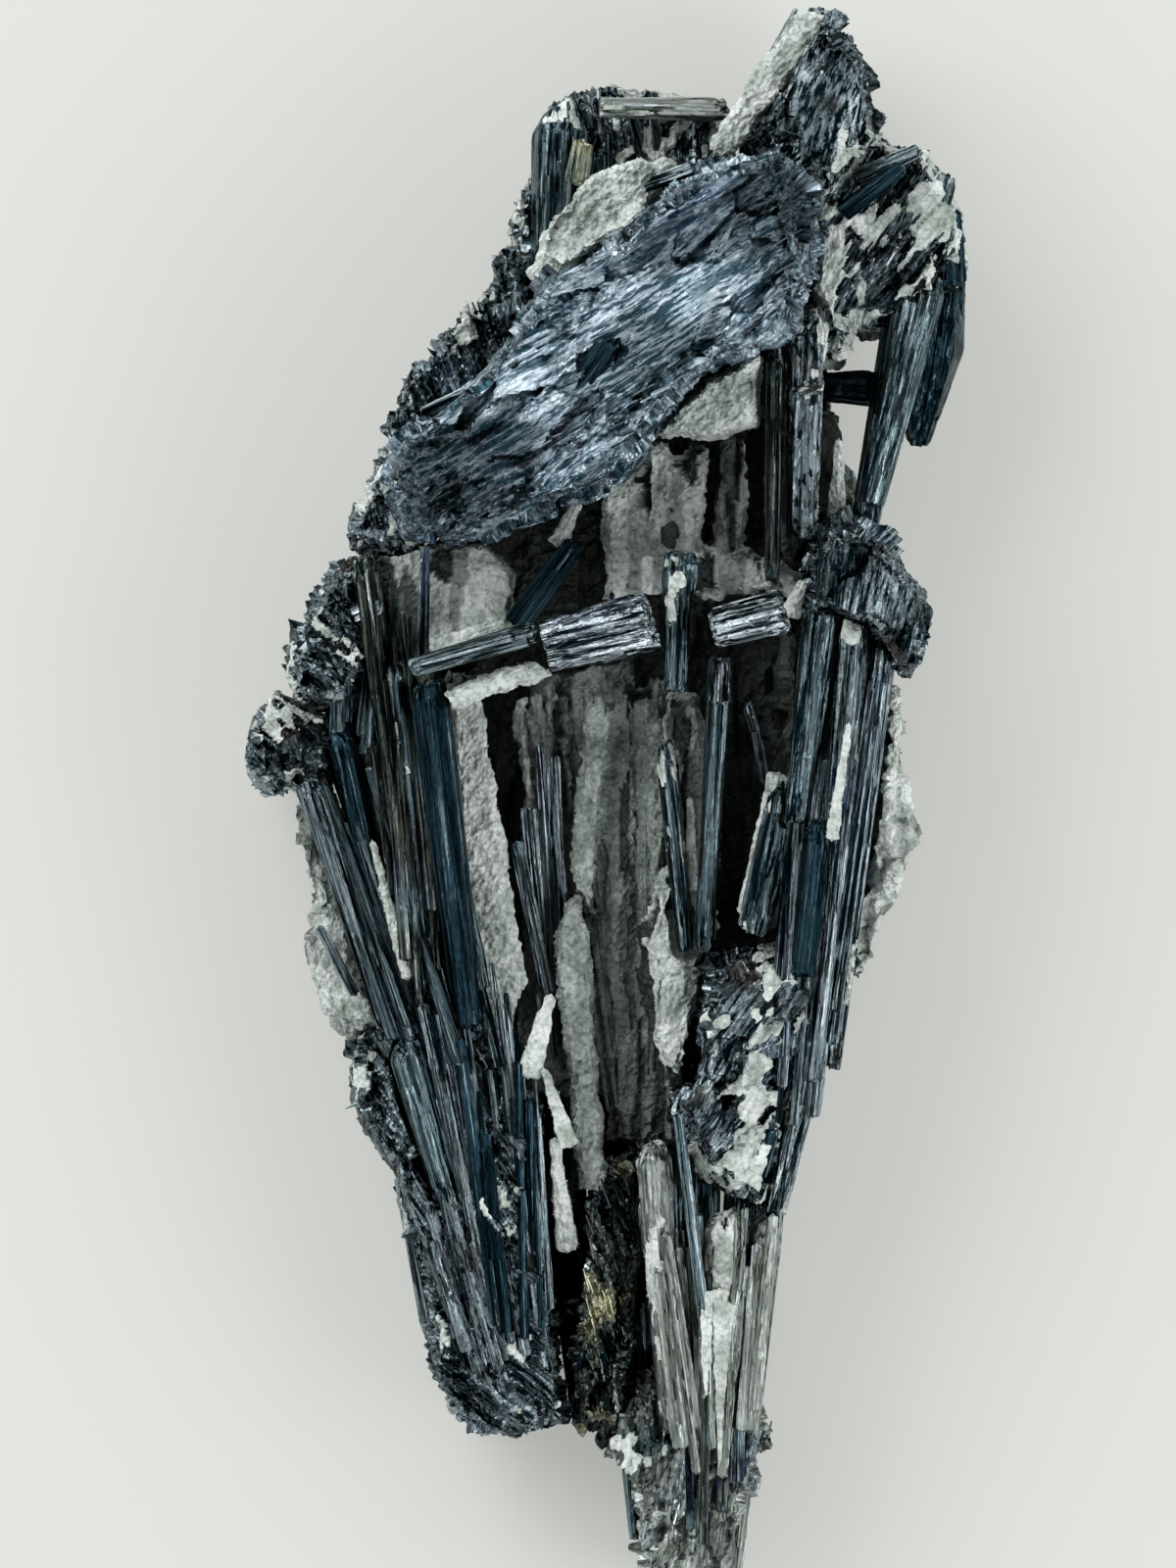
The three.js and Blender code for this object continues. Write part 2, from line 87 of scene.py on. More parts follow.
# Blades: lath width and depth of the lengthwise steps (mm), share of the surface coated with
# quartz, and which stibnite they are.
BLADES = {
    "cross_bright_prism": (0.7, 0.2, 0.0, "stibnite_painted_bright"),
    "cross_dark_post": (0.6, 0.35, 0.1, "stibnite_painted_dark"),
    "cross_prism": (0.6, 0.4, 0.0, "stibnite_painted_bright"),
    "cross_blade": (0.8, 0.2, 0.0, "stibnite_blade"),
    "limb_inner_blade": (1.1, 0.3, 0.0, "stibnite_painted_dark"),
    "limb_middle_blade": (1.0, 0.3, 0.08, "stibnite_blade"),
    "limb_outer_blade": (0.9, 0.3, 0.12, "stibnite_blade"),
    "polished_blade": (0.9, 0.22, 0.0, "stibnite_deep_blue"),
    "leaning_blade": (1.0, 0.35, 0.12, "stibnite_painted_dark"),
    "deep_blue_blade": (0.9, 0.22, 0.0, "stibnite_deep_blue"),
    "fan_grained_blade": (0.8, 0.4, 0.12, "stibnite_painted_dark"),
    "fan_olive_blade": (0.7, 0.35, 0.0, "stibnite_tarnished"),
    "fan_dark_blade": (0.9, 0.3, 0.0, "stibnite_deep_blue"),
    "fan_edge_blade": (0.6, 0.3, 0.0, "stibnite_blade"),
    "olive_edge_blade": (0.5, 0.3, 0.0, "stibnite_tarnished"),
    "upright_blade": (0.9, 0.3, 0.2, "stibnite_granular"),
    "right_upper_blade": (0.4, 0.1, 0.0, "stibnite_painted_dark"),
    "right_outer_blade": (0.8, 0.15, 0.0, "stibnite_deep_blue"),
    "window_crystal": (1.2, 0.2, 0.0, "stibnite_deep_blue"),
    "tower_bar": (0.7, 0.2, 0.05, "stibnite_pale"),
    "tower_blade": (0.9, 0.35, 0.08, "stibnite_painted_dark"),
    "inner_bright_blade": (0.8, 0.2, 0.0, "stibnite_painted_dark"),
    "inner_dark_blade": (0.7, 0.3, 0.1, "stibnite_painted_dark"),
    "lower_left_blade": (0.7, 0.3, 0.0, "stibnite_painted_dark"),
    "foot_fibrous_blade": (0.4, 0.5, 0.2, "stibnite_pale"),
    "foot_pale_blade": (0.4, 0.5, 0.35, "stibnite_pale"),
    "foot_edge_blade": (0.4, 0.4, 0.05, "stibnite_pale"),
    "lower_edge_blade": (0.7, 0.4, 0.15, "stibnite_blade"),
    "back_blade_1": (1.6, 0.6, 0.0, "stibnite_painted_dark"),
    "back_blade_2": (1.4, 0.4, 0.0, "stibnite_deep_blue"),
    "back_blade_3": (1.6, 0.6, 0.0, "stibnite_painted_dark"),
    "back_blade_4": (1.6, 0.6, 0.0, "stibnite_painted_dark"),
    "back_blade_5": (1.6, 0.6, 0.0, "stibnite_painted_dark"),
}

# Masses of fine needles: lean of the needles from the spray's length (degrees towards +X, or
# None to point away from the foot), share coated with quartz, how many loose needles stand on
# them (per square mm), and which stibnite they are.
MASSES = {
    "leaning_slab": (58, 0.0, 0.7, "stibnite_painted_sheen"),
    "limb_head": (12, 0.0, 0.05, "stibnite_granular"),
    "shoulder_upper_mass": (-50, 0.05, 0.05, "stibnite_granular"),
    "shoulder_lower_mass": (-40, 0.2, 0.05, "stibnite_granular"),
    "head_mass": (35, 0.42, 0.3, "stibnite_granular"),
    "spire_mass": (20, 0.02, 0.3, "stibnite_granular"),
    "tower_mass": (-5, 0.5, 0.3, "stibnite_granular"),
    "flank_upper_mass": (-20, 0.12, 0.3, "stibnite_granular"),
    "lower_left_mass": (None, 0.08, 0.4, "stibnite_granular"),
    "lower_left_lobe": (None, 0.06, 0.3, "stibnite_granular"),
    "lower_right_mass": (30, 0.18, 0.3, "stibnite_granular"),
    "foot_gilded_mass": (None, 0.0, 0.4, "stibnite_gilded_felt"),
    "foot_mass": (10, 0.05, 0.3, "stibnite_weathered"),
}

# Places on a mass that differ from the rest of it: a smooth cleavage plate ("calm") or a dark
# tarnish ("soot"). The middle's offset from the node's middle along X, Y and Z, and the half
# sizes across, through and along the needles (mm).
PATCHES = {
    "leaning_slab": (
        ("calm", (7, 3, 0), (6, 30, 15)),
        ("soot", (21, 17, 0), (7, 30, 7)),
        ("soot", (-17, -15, 0), (6, 30, 12)),
    ),
    "limb_head": (("soot", (-4, 4, 12), (4, 12, 5)),),
    "spire_mass": (("calm", (2, -2, 12), (5, 20, 7)),),
    "head_mass": (("soot", (4, -6, 14), (4, 20, 5)),),
}

# Quartz crusts: height of their lumps and of their ribs (mm), the ribs also setting how dark the painted
# shade in the slits between them is, and which quartz they are.
CRUSTS = {
    "cross_coated_plate": (0.3, 0.0, "quartz_druse"),
    "limb_coated_flank": (1.5, 0.3, "quartz_druse"),
    "fan_coated_flank": (1.4, 0.3, "quartz_druse"),
    "window_druse": (0.5, 0.6, "quartz_druse"),
    "hanging_shelf": (0.6, 0.0, "quartz_druse"),
    "hanging_rods": (0.6, 1.6, "quartz_druse"),
    "spire_coated_blade": (0.4, 0.0, "quartz_druse"),
    "tower_druse": (0.7, 0.0, "quartz_druse"),
    "coated_blade": (0.35, 0.0, "quartz_druse"),
    # The rods in the hollow take a darker copy of the quartz, painted as their shade.
    "hollow_great_rod": (0.45, 0.2, "quartz_hollow_shade"),
    "hollow_rods": (0.5, 1.6, "quartz_hollow_shade"),
    "inner_druse": (0.6, 1.0, "quartz_druse"),
    # The lining takes a darker copy of the quartz: painted shade of the hollow behind the crystals.
    "quartz_lining": (0.8, 2.4, "quartz_lining_shade"),
}

# Small crystals past the frame's limit: the node each stands by, its root and tip in mm from
# the middle of that node, its width (mm), and what it is.
SMALL = {
    "hollow_wedge": ("inner_bright_blade", (8.5, 4, -0.6), (3.5, -14.6, -1.6), 3.4, "quartz_druse"),
    "hollow_dark_lath": ("coated_blade", (7.4, -15.4, -3.3), (3.4, 4.6, -1.3), 2.6, "stibnite_blade"),
    "hollow_splinter": ("inner_bright_blade", (6.6, 2.4, -7.6), (4.7, 13.1, -3.6), 1.8, "stibnite_blade"),
    "inner_white_lath": ("inner_dark_blade", (2.2, -8, -2.4), (1.8, 6.4, -0.6), 2.8, "quartz_druse"),
    "fan_white_lath": ("fan_dark_blade", (4.9, -14.3, 2), (0.1, 3.7, 3), 2.6, "quartz_druse"),
    "flank_needle": ("fan_coated_flank", (2.3, -10.8, 13.2), (-2.4, -1.8, 13.7), 1.6, "stibnite_blade"),
    "window_dark_lath": ("window_druse", (9, -3, 4.3), (17, 7.8, 9.3), 3.8, "stibnite_deep_blue"),
    "window_white_chip": ("window_druse", (14.4, 7, 7.3), (17.4, 13, 9.3), 3.4, "quartz_druse"),
    "cross_white_plate": ("cross_blade", (-5.7, 0.4, -4.6), (3.8, 3.5, -4.1), 3.0, "quartz_druse"),
    "cross_white_bit": ("cross_bright_prism", (5.1, 0.2, -7.6), (7.1, 5.2, -6.6), 3.4, "quartz_druse"),
    "upright_white_strip": ("upright_blade", (3.7, -13.7, -7.2), (4.1, -1.7, -4.2), 3.0, "quartz_druse"),
    "limb_white_strip": ("limb_middle_blade", (-0.6, 2.2, 5.6), (1.6, 17.4, 6.4), 2.4, "quartz_druse"),
    "inner_bright_tip": ("inner_bright_blade", (0.8, 12.3, 3.4), (1.0, 18.4, 4.0), 3.0, "stibnite_painted_bright"),
    "hollow_glint": ("inner_bright_blade", (5.4, 9, -2), (4.4, 12.6, -1.5), 1.8, "stibnite_painted_bright"),
    "window_split": ("window_druse", (-2.6, -7.6, 8.8), (-2.2, 7.4, 9.4), 1.7, "stibnite_blade"),
    "spire_edge": ("spire_coated_blade", (-7.2, -9.9, -1), (4.1, 10.1, 0), 1.2, "stibnite_blade"),
    "shoulder_prism": ("shoulder_upper_mass", (2.6, 2.4, 13.5), (6.6, 4.4, 14.5), 3.0, "stibnite_painted_bright"),
    "foot_teal_needle": ("foot_fibrous_blade", (6.2, -11, 2.3), (2, 22.4, 7.7), 1.9, "stibnite_painted_dark"),
    "foot_nub": ("foot_edge_blade", (0.7, -5.3, 0), (2, -2.6, 0.5), 2.0, "stibnite_blade"),
    "slat_inner": ("lower_left_mass", (10.7, -16.2, 7.5), (9.5, 5.8, 12.5), 3.2, "stibnite_blade"),
    "slat_outer": ("lower_left_mass", (8.3, -13.2, 7.5), (5.7, 8.8, 12.5), 2.8, "stibnite_deep_blue"),
    "left_white_tip": ("lower_left_mass", (10.7, 7.2, 13.5), (13.7, 18.2, 16.5), 4.0, "quartz_druse"),
    "left_white_edge": ("lower_left_mass", (16.1, -1.6, 12.5), (12.7, 8.8, 14.9), 3.0, "quartz_druse"),
    "left_white_base": ("lower_left_mass", (15.7, -15.2, 7.5), (14.1, -0.2, 11.5), 3.6, "quartz_druse"),
    "left_rim_blade": ("lower_left_lobe", (-8, 0.2, 1.6), (-11.8, 20.2, 2.6), 2.6, "stibnite_blade"),
    "right_dark_bit": ("lower_right_mass", (1.2, -12.5, 8.8), (3.2, -6, 9.8), 2.4, "stibnite_deep_blue"),
    "right_white_bit": ("lower_right_mass", (-0.5, -12.5, 8.8), (0.7, -6, 9.8), 2.4, "quartz_druse"),
    "slab_facet": ("leaning_slab", (-3.2, -7.3, 4.2), (2.4, 0.7, 7.4), 5.6, "stibnite_deep_blue"),
    "slab_gold_sliver": ("leaning_slab", (-9.7, 2.7, 3.6), (-3.7, 6.2, 5.6), 1.0, "stibnite_gilded"),
    "slab_rod": ("leaning_slab", (-24.7, -16.3, 0.3), (-18.7, -13.8, 1.3), 2.2, "stibnite_tarnished"),
    "slab_lath": ("leaning_slab", (-22.7, -8.8, -1.7), (-16.7, -5.8, 0.3), 2.0, "stibnite_blade"),
    "tower_white_lump": ("tower_druse", (2.2, 1, 4.4), (9.6, 6.4, 5), 5.4, "quartz_druse"),
    "tower_white_foot": ("tower_druse", (-8, -9.6, 0), (-1, -2, 3.6), 6.0, "quartz_druse"),
    "tower_spike": ("tower_druse", (2.6, 2, 4.8), (12.1, 5.5, 6.8), 2.2, "stibnite_blade"),
    "tower_gold_lath": ("tower_druse", (-2.9, 3.5, -1.2), (-1.9, 9.5, -0.2), 3.4, "stibnite_gilded"),
    "tower_needle": ("tower_bar", (-2.8, -6.4, -4.4), (-4.3, 0.1, -1.4), 1.6, "stibnite_blade"),
    "tower_short_needle": ("tower_bar", (-0.8, -5.9, -4.4), (-1.3, -0.9, -1.4), 1.4, "stibnite_blade"),
    "flank_upright": ("flank_upper_mass", (-4, -2, 11), (-3, 6, 13), 1.8, "stibnite_blade"),
    "flank_second": ("flank_upper_mass", (-6.2, -4, 10), (-6.4, 3, 12), 1.6, "stibnite_blade"),
    "flank_third": ("flank_upper_mass", (-1.6, -1, 11.5), (0, 6.4, 13), 1.6, "stibnite_tarnished"),
    "flank_white_lath": ("flank_upper_mass", (0.4, 3, 11), (0.4, 12.5, 12.5), 2.4, "quartz_druse"),
    "head_streak": ("head_mass", (-5.2, 3.2, 16), (2.8, 9.2, 18), 2.6, "stibnite_deep_blue"),
    "head_upper_streak": ("head_mass", (-3.6, 7.4, 15.6), (5.0, 11.4, 16), 2.8, "stibnite_blade"),
    "head_lobe": ("head_mass", (8.8, -5.8, 8), (8.3, 4.7, 9), 4.8, "stibnite_deep_blue"),
    "head_rim_blade": ("head_mass", (5.6, -3, 12), (8.6, 8.7, 12), 3.2, "stibnite_blade"),
    "head_white_ridge": ("head_mass", (-6.2, -4.8, 14.6), (2.4, 4.6, 15.6), 3.6, "quartz_druse"),
    "head_white_knob": ("head_mass", (-4.6, -11, 13), (-2.4, -4.4, 14.6), 4.4, "quartz_druse"),
}

# Bundles of thin laths that fill the gaps: how many, the node they stand by, the middle of
# their roots and tips in mm from that node's middle, and how far roots, tips and each lath
# spread (mm).
LATHS = {
    "fan_laths": (
        30, "fan_dark_blade", (11, -27, 2), (-0.5, 14, 2.5), ((7, -1, 0), (9, 3, 1), 1.0),
        "stibnite_painted_dark",
    ),
    "fan_upper_laths": (
        9, "fan_olive_blade", (4, -28, 0), (-1, 22, 2), ((3, 0, 0), (3.5, 4, 0), 0.9),
        "stibnite_tarnished",
    ),
    "limb_laths": (
        34, "limb_middle_blade", (-5.2, -34, 0), (1.4, 29, 2.6), ((3, 0, 0), (5, 0, -1), 0.9),
        "stibnite_blade",
    ),
    "left_slats": (
        26, "lower_left_mass", (9, -30, 9), (2, 20, 15), ((4, 0, 0), (8, 2, 0), 1.2),
        "stibnite_blade",
    ),
    "left_dark_slats": (
        12, "lower_left_mass", (10, -28, 10), (7, 17, 15), ((3, 0, 0), (5, 2, 0), 1.2),
        "stibnite_deep_blue",
    ),
    "left_joint_laths": (
        18, "lower_left_lobe", (3, -9, 11), (-4, 20, 15), ((5, 0, 0), (7, 0, 0), 1.2),
        "stibnite_granular",
    ),
    "foot_laths": (
        26, "foot_pale_blade", (0, -19, 1), (0, 17, 4), ((3, 0, 0), (8, 0, 0), 1.4),
        "stibnite_pale",
    ),
    "foot_dark_laths": (
        8, "foot_pale_blade", (0, -27, 1), (0, 15, 4), ((4, 0, 0), (7, 0, 0), 1.4),
        "stibnite_tarnished",
    ),
    "foot_white_laths": (
        4, "foot_pale_blade", (0, -17, 2), (-1, 12, 5), ((1, 0, 0), (3, 0, 0), 1.0),
        "quartz_druse",
    ),
    "tower_laths": (
        12, "tower_blade", (3, -12, 1), (3, 12, 3), ((5, 0, 0), (5, 0, 0), 0.9),
        "stibnite_painted_dark",
    ),
    "flank_laths": (
        16, "flank_upper_mass", (-2, -8, 10), (1.6, 9.5, 13), ((4, -4, 0), (5, 5.5, 0), 0.9),
        "stibnite_tarnished",
    ),
    "shoulder_laths": (
        10, "shoulder_upper_mass", (2, -14, 12), (4, 8, 14), ((3, -2, 0), (5, 0, 0), 1.0),
        "stibnite_painted_dark",
    ),
    "hollow_laths": (
        7, "hollow_rods", (-6, -20, 0), (-9, 24, 4), ((1.5, 0, 0), (3, 0, 0), 0.8),
        "stibnite_blade",
    ),
    "hollow_ribs": (
        14, "hollow_rods", (4, -32, -3), (1, 29, 0), ((3, 0, 0), (10, 0, 0), 1.0),
        "quartz_hollow_shade",
    ),
}

# The record's slot for a mineral that has none of its own.
SLOTS = {
    "stibnite_painted_bright": "stibnite_blade",
    "stibnite_painted_dark": "stibnite_blade",
    "stibnite_painted_sheen": "stibnite_granular",
    "stibnite_weathered": "stibnite_granular",
    "stibnite_gilded": "stibnite_tarnished",
    "stibnite_gilded_felt": "stibnite_tarnished",
    "stibnite_pale": "stibnite_tarnished",
    "quartz_hollow_shade": "quartz_druse",
    "quartz_lining_shade": "quartz_druse",
}

# ---------------------------------------------------------------- settings


def srgb(code):
    """An sRGB hex colour, such as "#1a2b3c", as linear red, green and blue."""
    values = (int(code[i : i + 2], 16) / 255 for i in (1, 3, 5))
    return tuple(v / 12.92 if v <= 0.04045 else ((v + 0.055) / 1.055) ** 2.4 for v in values)


def colour_setting(name, description, code):
    return FloatVectorProperty(
        name=name, description=description, subtype="COLOR", size=3, min=0, max=1, default=srgb(code)
    )


def length_setting(name, description, millimetres):
    return FloatProperty(
        name=name, description=description, subtype="DISTANCE", unit="LENGTH", default=millimetres * MM
    )


class StibniteSettings(bpy.types.PropertyGroup):
    """Colours and fineness of the stibnite"""

    steel: colour_setting("Steel grey", "Fresh stibnite where it catches light", "#98a5aa")
    # Painted sheen: the slab's lighter colour stands in for the light it tilts towards.
    sheen: colour_setting("Sheen", "Parallel needles of the slab", "#aebbc4")
    # Painted highlight: the colour of thin bright lines and of the brightest faces.
    painted_highlight: colour_setting("Silver", "Painted highlight on stibnite", "#c3ccd1")
    pale: colour_setting("Pale grey", "Weathered stibnite", "#bcc2bf")
    slate: colour_setting("Slate", "Stibnite on clean striated faces", "#7d9095")
    blue: colour_setting("Blue-black", "Stibnite on polished faces", "#354c56")
    black: colour_setting("Black", "Stibnite in the grooves between laths", "#0a1b21")
    olive: colour_setting("Olive", "Olive-brown tarnish", "#6a7067")
    brown: colour_setting("Brown", "Brown tarnish on fine needles", "#4f4a47")
    gold: colour_setting("Gold", "Golden tarnish", "#c4c1a2")
    violet: colour_setting("Violet", "Violet tarnish on the faces", "#53618a")
    column_step: length_setting("Step across", "Spacing of a blade's grid lines round it", 0.26)
    row_step: length_setting("Step along", "Spacing of a blade's grid lines along it", 0.6)
    mass_step: length_setting("Mass step", "Grid size of the masses of needles", 0.45)
    needle_length: length_setting("Needle length", "Longest loose needle on a mass", 3.0)
    needle_width: length_setting("Needle width", "Widest loose needle on a mass", 0.36)
    seed: IntProperty(name="Seed", description="Picks the pattern of steps and needles", default=7)


class QuartzSettings(bpy.types.PropertyGroup):
    """Colours and fineness of the quartz crust"""

    light: colour_setting("Light quartz", "Fresh white quartz", "#dce1dd")
    # Also the lighter colour of the lining, a darker copy of the quartz painted as the hollow's shade.
    shade: colour_setting("Quartz stain", "Grey-green stains on white quartz", "#8f9a91")
    # Painted shade: a darker copy of the white quartz and its stain, for the rods deep in the hollow.
    grey: colour_setting("Grey quartz", "Grey quartz on the rods of the hollow", "#b0b8b3")
    dim: colour_setting("Grey stain", "Dim green stains on grey quartz", "#6f7a72")
    # Painted shade: the colour quartz darkens to deep in the hollows, in the slits between ribs and on the
    # lining; it also darkens the speckles between grains.
    deep: colour_setting("Deep quartz", "Painted shade on quartz deep in the hollows", "#333b37")
    crust_step: length_setting("Crust step", "Grid size of the crusts", 0.46)
    lining_step: length_setting("Lining step", "Grid size of the hidden lining", 0.8)
    point_size: length_setting("Point size", "Largest quartz point", 0.5)
    seed: IntProperty(name="Seed", description="Picks the pattern of lumps and points", default=3)


class StageSettings(bpy.types.PropertyGroup):
    """Floor, lights and camera"""

    paper: colour_setting("Paper", "Plain pale paper of the floor", "#a0a19e")
    glow: colour_setting("Glow", "Light that comes through the paper", "#92938f")
    view_height: length_setting("View height", "Height of the view at the specimen", 200)
    distance: length_setting("Camera distance", "Height of the camera over the floor", 1300)
    key_power: FloatProperty(name="Key", description="Power of the main softbox", unit="POWER", default=6)
    fill_power: FloatProperty(name="Fill", description="Power of the far softbox", unit="POWER", default=4)


# ---------------------------------------------------------------- random patterns

WORD = 0xFFFFFFFF
PRIMES = (73856093, 19349663, 83492791)
SEED_STEP = 2654435761
MIXER = 2246822519


def scrambled(cells, seed):
    """A repeatable random number from 0 to 1 for each whole-number cell."""
    x, y, z = (cells[..., axis] * prime for axis, prime in enumerate(PRIMES))
    value = ((x ^ y ^ z) + seed * SEED_STEP) & WORD
    for _ in range(2):
        value = ((value ^ (value >> 15)) * MIXER) & WORD
    return (value ^ (value >> 13)) / WORD


def smooth_noise(points, seed=0):
    """Smooth noise from -1 to 1, with one bump to each unit."""
    base = np.floor(points).astype(np.int64)
    part = points - base
    part = part * part * (3 - 2 * part)
    total = np.zeros(len(points))
    for corner in itertools.product((0, 1), repeat=3):
        weight = np.prod(np.where(corner, part, 1 - part), axis=1)
        total += weight * scrambled(base + corner, seed)
    return total * 2 - 1


def chips(points, seed=0):
    """Splits space into chips about one unit across: three random numbers for the chip that
    each point is in, and the point's place from the chip's middle."""
    base = np.floor(points).astype(np.int64)
    nearest = np.full(len(points), np.inf)
    numbers = np.zeros_like(points)
    offset = np.zeros_like(points)
    for step in itertools.product((-1, 0, 1), repeat=3):
        cell = base + step
        jitter = np.stack([scrambled(cell, seed + axis) for axis in range(3)], axis=1)
        delta = points - cell - jitter
        distance = (delta**2).sum(axis=1)
        closer = distance < nearest
        nearest[closer] = distance[closer]
        numbers[closer] = jitter[closer]
        offset[closer] = delta[closer]
    return numbers, offset


# Size (mm) and weight of the bumps that shape the patches of a coat.
COAT_BUMPS = ((5.5, 0.5), (2.2, 0.4), (0.9, 0.35))


def coat_mask(points, share, seed):
    """Ragged patches of quartz: 1 inside, 0 outside, over the given share of the surface."""
    if share <= 0:
        return np.zeros(len(points))
    cover = 0
    for turn, (size, weight) in enumerate(COAT_BUMPS):
        cover = cover + weight * smooth_noise(points / MM / size, seed + turn)
    return np.clip((cover - np.quantile(cover, 1 - share)) / 0.05 + 0.5, 0, 1)


# ---------------------------------------------------------------- solids and their axes


def merged_solid(node):
    """A copy of a node's surface with its doubles merged."""
    solid = bmesh.new()
    solid.from_mesh(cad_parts[node].data)
    bmesh.ops.remove_doubles(solid, verts=solid.verts, dist=1e-7)
    return solid


def unit(vector):
    return vector / np.linalg.norm(vector)


def axes_from(along):
    """Rows: across, face (towards the front) and along."""
    across = unit(np.cross(along, UP))
    return np.stack([across, np.cross(across, along), along])


def crystal_axes(solid):
    """The middle of a solid and its axes, along its longest direction."""
    area = 0
    first = np.zeros(3)
    second = np.zeros((3, 3))
    for face in solid.faces:
        corners = np.array([vertex.co for vertex in face.verts])
        size = face.calc_area()
        area += size
        first += size * corners.mean(axis=0)
        total = corners.sum(axis=0)
        second += size / 12 * (corners.T @ corners + np.outer(total, total))
    middle = first / area
    spread = second / area - np.outer(middle, middle)
    along = np.linalg.eigh(spread)[1][:, 2]
    if along[1] + 0.5 * along[0] < 0:
        along = -along
    return middle, axes_from(along)


def lean_axes(node, lean):
    """Axes of a mass: its needles lean by an angle, or point away from the foot."""
    low, high = (np.array(corner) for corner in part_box(node))
    if lean is None:
        away = (low + high) / 2 - FOOT
        away[2] *= 0.3
        return axes_from(unit(away))
    angle = math.radians(lean)
    return axes_from(np.array((math.sin(angle), math.cos(angle), 0.0)))


# ---------------------------------------------------------------- building meshes


def store(mesh, name, kind, values):
    layer = mesh.attributes.new(name, kind, "POINT")
    layer.data.foreach_set("vector" if kind == "FLOAT_VECTOR" else "value", np.ravel(values))


def mesh_points(mesh):
    points = np.empty(len(mesh.vertices) * 3)
    mesh.vertices.foreach_get("co", points)
    return points.reshape(-1, 3)


def mesh_normals(mesh):
    normals = np.empty(len(mesh.vertices) * 3)
    mesh.vertex_normals.foreach_get("vector", normals)
    return normals.reshape(-1, 3)


def remeshed(node, step):
    """An even, closed copy of a node's surface."""
    solid = merged_solid(node)
    rough = bpy.data.meshes.new(node + "_rough")
    solid.to_mesh(rough)
    solid.free()
    carrier = bpy.data.objects.new(node + "_carrier", rough)
    bpy.context.collection.objects.link(carrier)
    remesh = carrier.modifiers.new("Even grid", "REMESH")
    remesh.mode = "VOXEL"
    remesh.voxel_size = step
    even = plain_copy(carrier)
    bpy.data.objects.remove(carrier)
    return even


def plain_copy(carrier):
    """The evaluated mesh of an object, with no modifiers left."""
    depsgraph = bpy.context.evaluated_depsgraph_get()
    return bpy.data.meshes.new_from_object(
        carrier.evaluated_get(depsgraph), preserve_all_data_layers=True, depsgraph=depsgraph
    )


def set_points(mesh, points):
    """Moves the vertices, and keeps them inside the frame's box."""
    mesh.vertices.foreach_set("co", np.ravel(np.clip(points, CAD_LOW, CAD_HIGH)))
    mesh.update()


def add_piece(name, mesh, slot, *nodes):
    piece = bpy.data.objects.new(name, mesh)
    bpy.context.collection.objects.link(piece)
    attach(piece, "root")
    if nodes:
        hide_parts(*nodes)
    return piece


# ---------------------------------------------------------------- striated blades


# How a crystal's laths differ: the spread of their widths (log-normal), how far a lath runs before
# it steps up or down (mm), how far short of the end it can stop (mm), and the groove beside it, as
# a share of the depth of the steps.
WIDTH_SPREAD = 0.55
RUN_MM = 14
SHORT_MM = 2.2
GROOVE = 0.22


def lath_steps(dice, rows, columns, row_mm, lath_mm, column_mm, depth):
    """Depths of the lengthwise steps of a crystal that grew as a bundle of laths."""
    steps = np.zeros((rows, columns))
    column = 0
    while column < columns:
        width = max(2, round(dice.lognormal(math.log(lath_mm), WIDTH_SPREAD) / column_mm))
        level = dice.random() ** 1.6 * depth
        row = 0
        while row < rows:
            run = round(dice.exponential(RUN_MM) / row_mm) + 4
            steps[row : row + run, column : column + width] = level
            level = np.clip(level + dice.normal(0, 0.3) * depth, 0, depth)
            row += run
        end = rows - round(abs(dice.normal(0, SHORT_MM)) / row_mm)
        steps[end:, column : column + width] += dice.uniform(0.1, 1.3)
        steps[:, column] += GROOVE * depth
        column += width
    return steps


def shot(tree, origin, direction, reach):
    """Where a ray from inside the solid leaves it."""
    place = tree.ray_cast(Vector(origin), Vector(direction), reach)[0]
    return np.array(place) if place else origin + direction * 0.2 * MM


def inside(tree, origin):
    """The origin itself, or the nearest place a little inside the solid."""
    place, normal, _, _ = tree.find_nearest(Vector(origin))
    if (Vector(origin) - place).dot(normal) < -0.1 * MM:
        return origin
    return np.array(place - normal * 0.5 * MM)


# A crystal with a bigger half width than this gets longer grid steps.
THICK_MM = 3.6


def grid_directions(half_width, half_depth, margin, low, high, settings):
    """The directions round a crystal, and the tilts and places along it of its rows."""
    coarse = max(1, half_width / (THICK_MM * MM))
    columns = max(14, round(math.pi * (half_width + half_depth) / settings.column_step / coarse))
    sides = max(4, round((high - low - 2 * margin) / settings.row_step / coarse))
    caps = max(5, round(margin / settings.row_step / coarse))
    turn = np.linspace(0, 2 * math.pi, columns, endpoint=False)
    spokes = np.stack([half_width * np.cos(turn), half_depth * np.sin(turn), np.zeros(columns)], axis=1)
    spokes /= np.linalg.norm(spokes, axis=1, keepdims=True)
    quarter = np.linspace(90, 0, caps, endpoint=False)[1:]
    tilts = np.radians(np.concatenate([-quarter, np.zeros(sides), quarter[::-1]]))
    stations = np.concatenate(
        [
            np.full(caps - 1, low + margin),
            np.linspace(low + margin, high - margin, sides),
            np.full(caps - 1, high - margin),
        ]
    )
    return spokes, tilts, stations


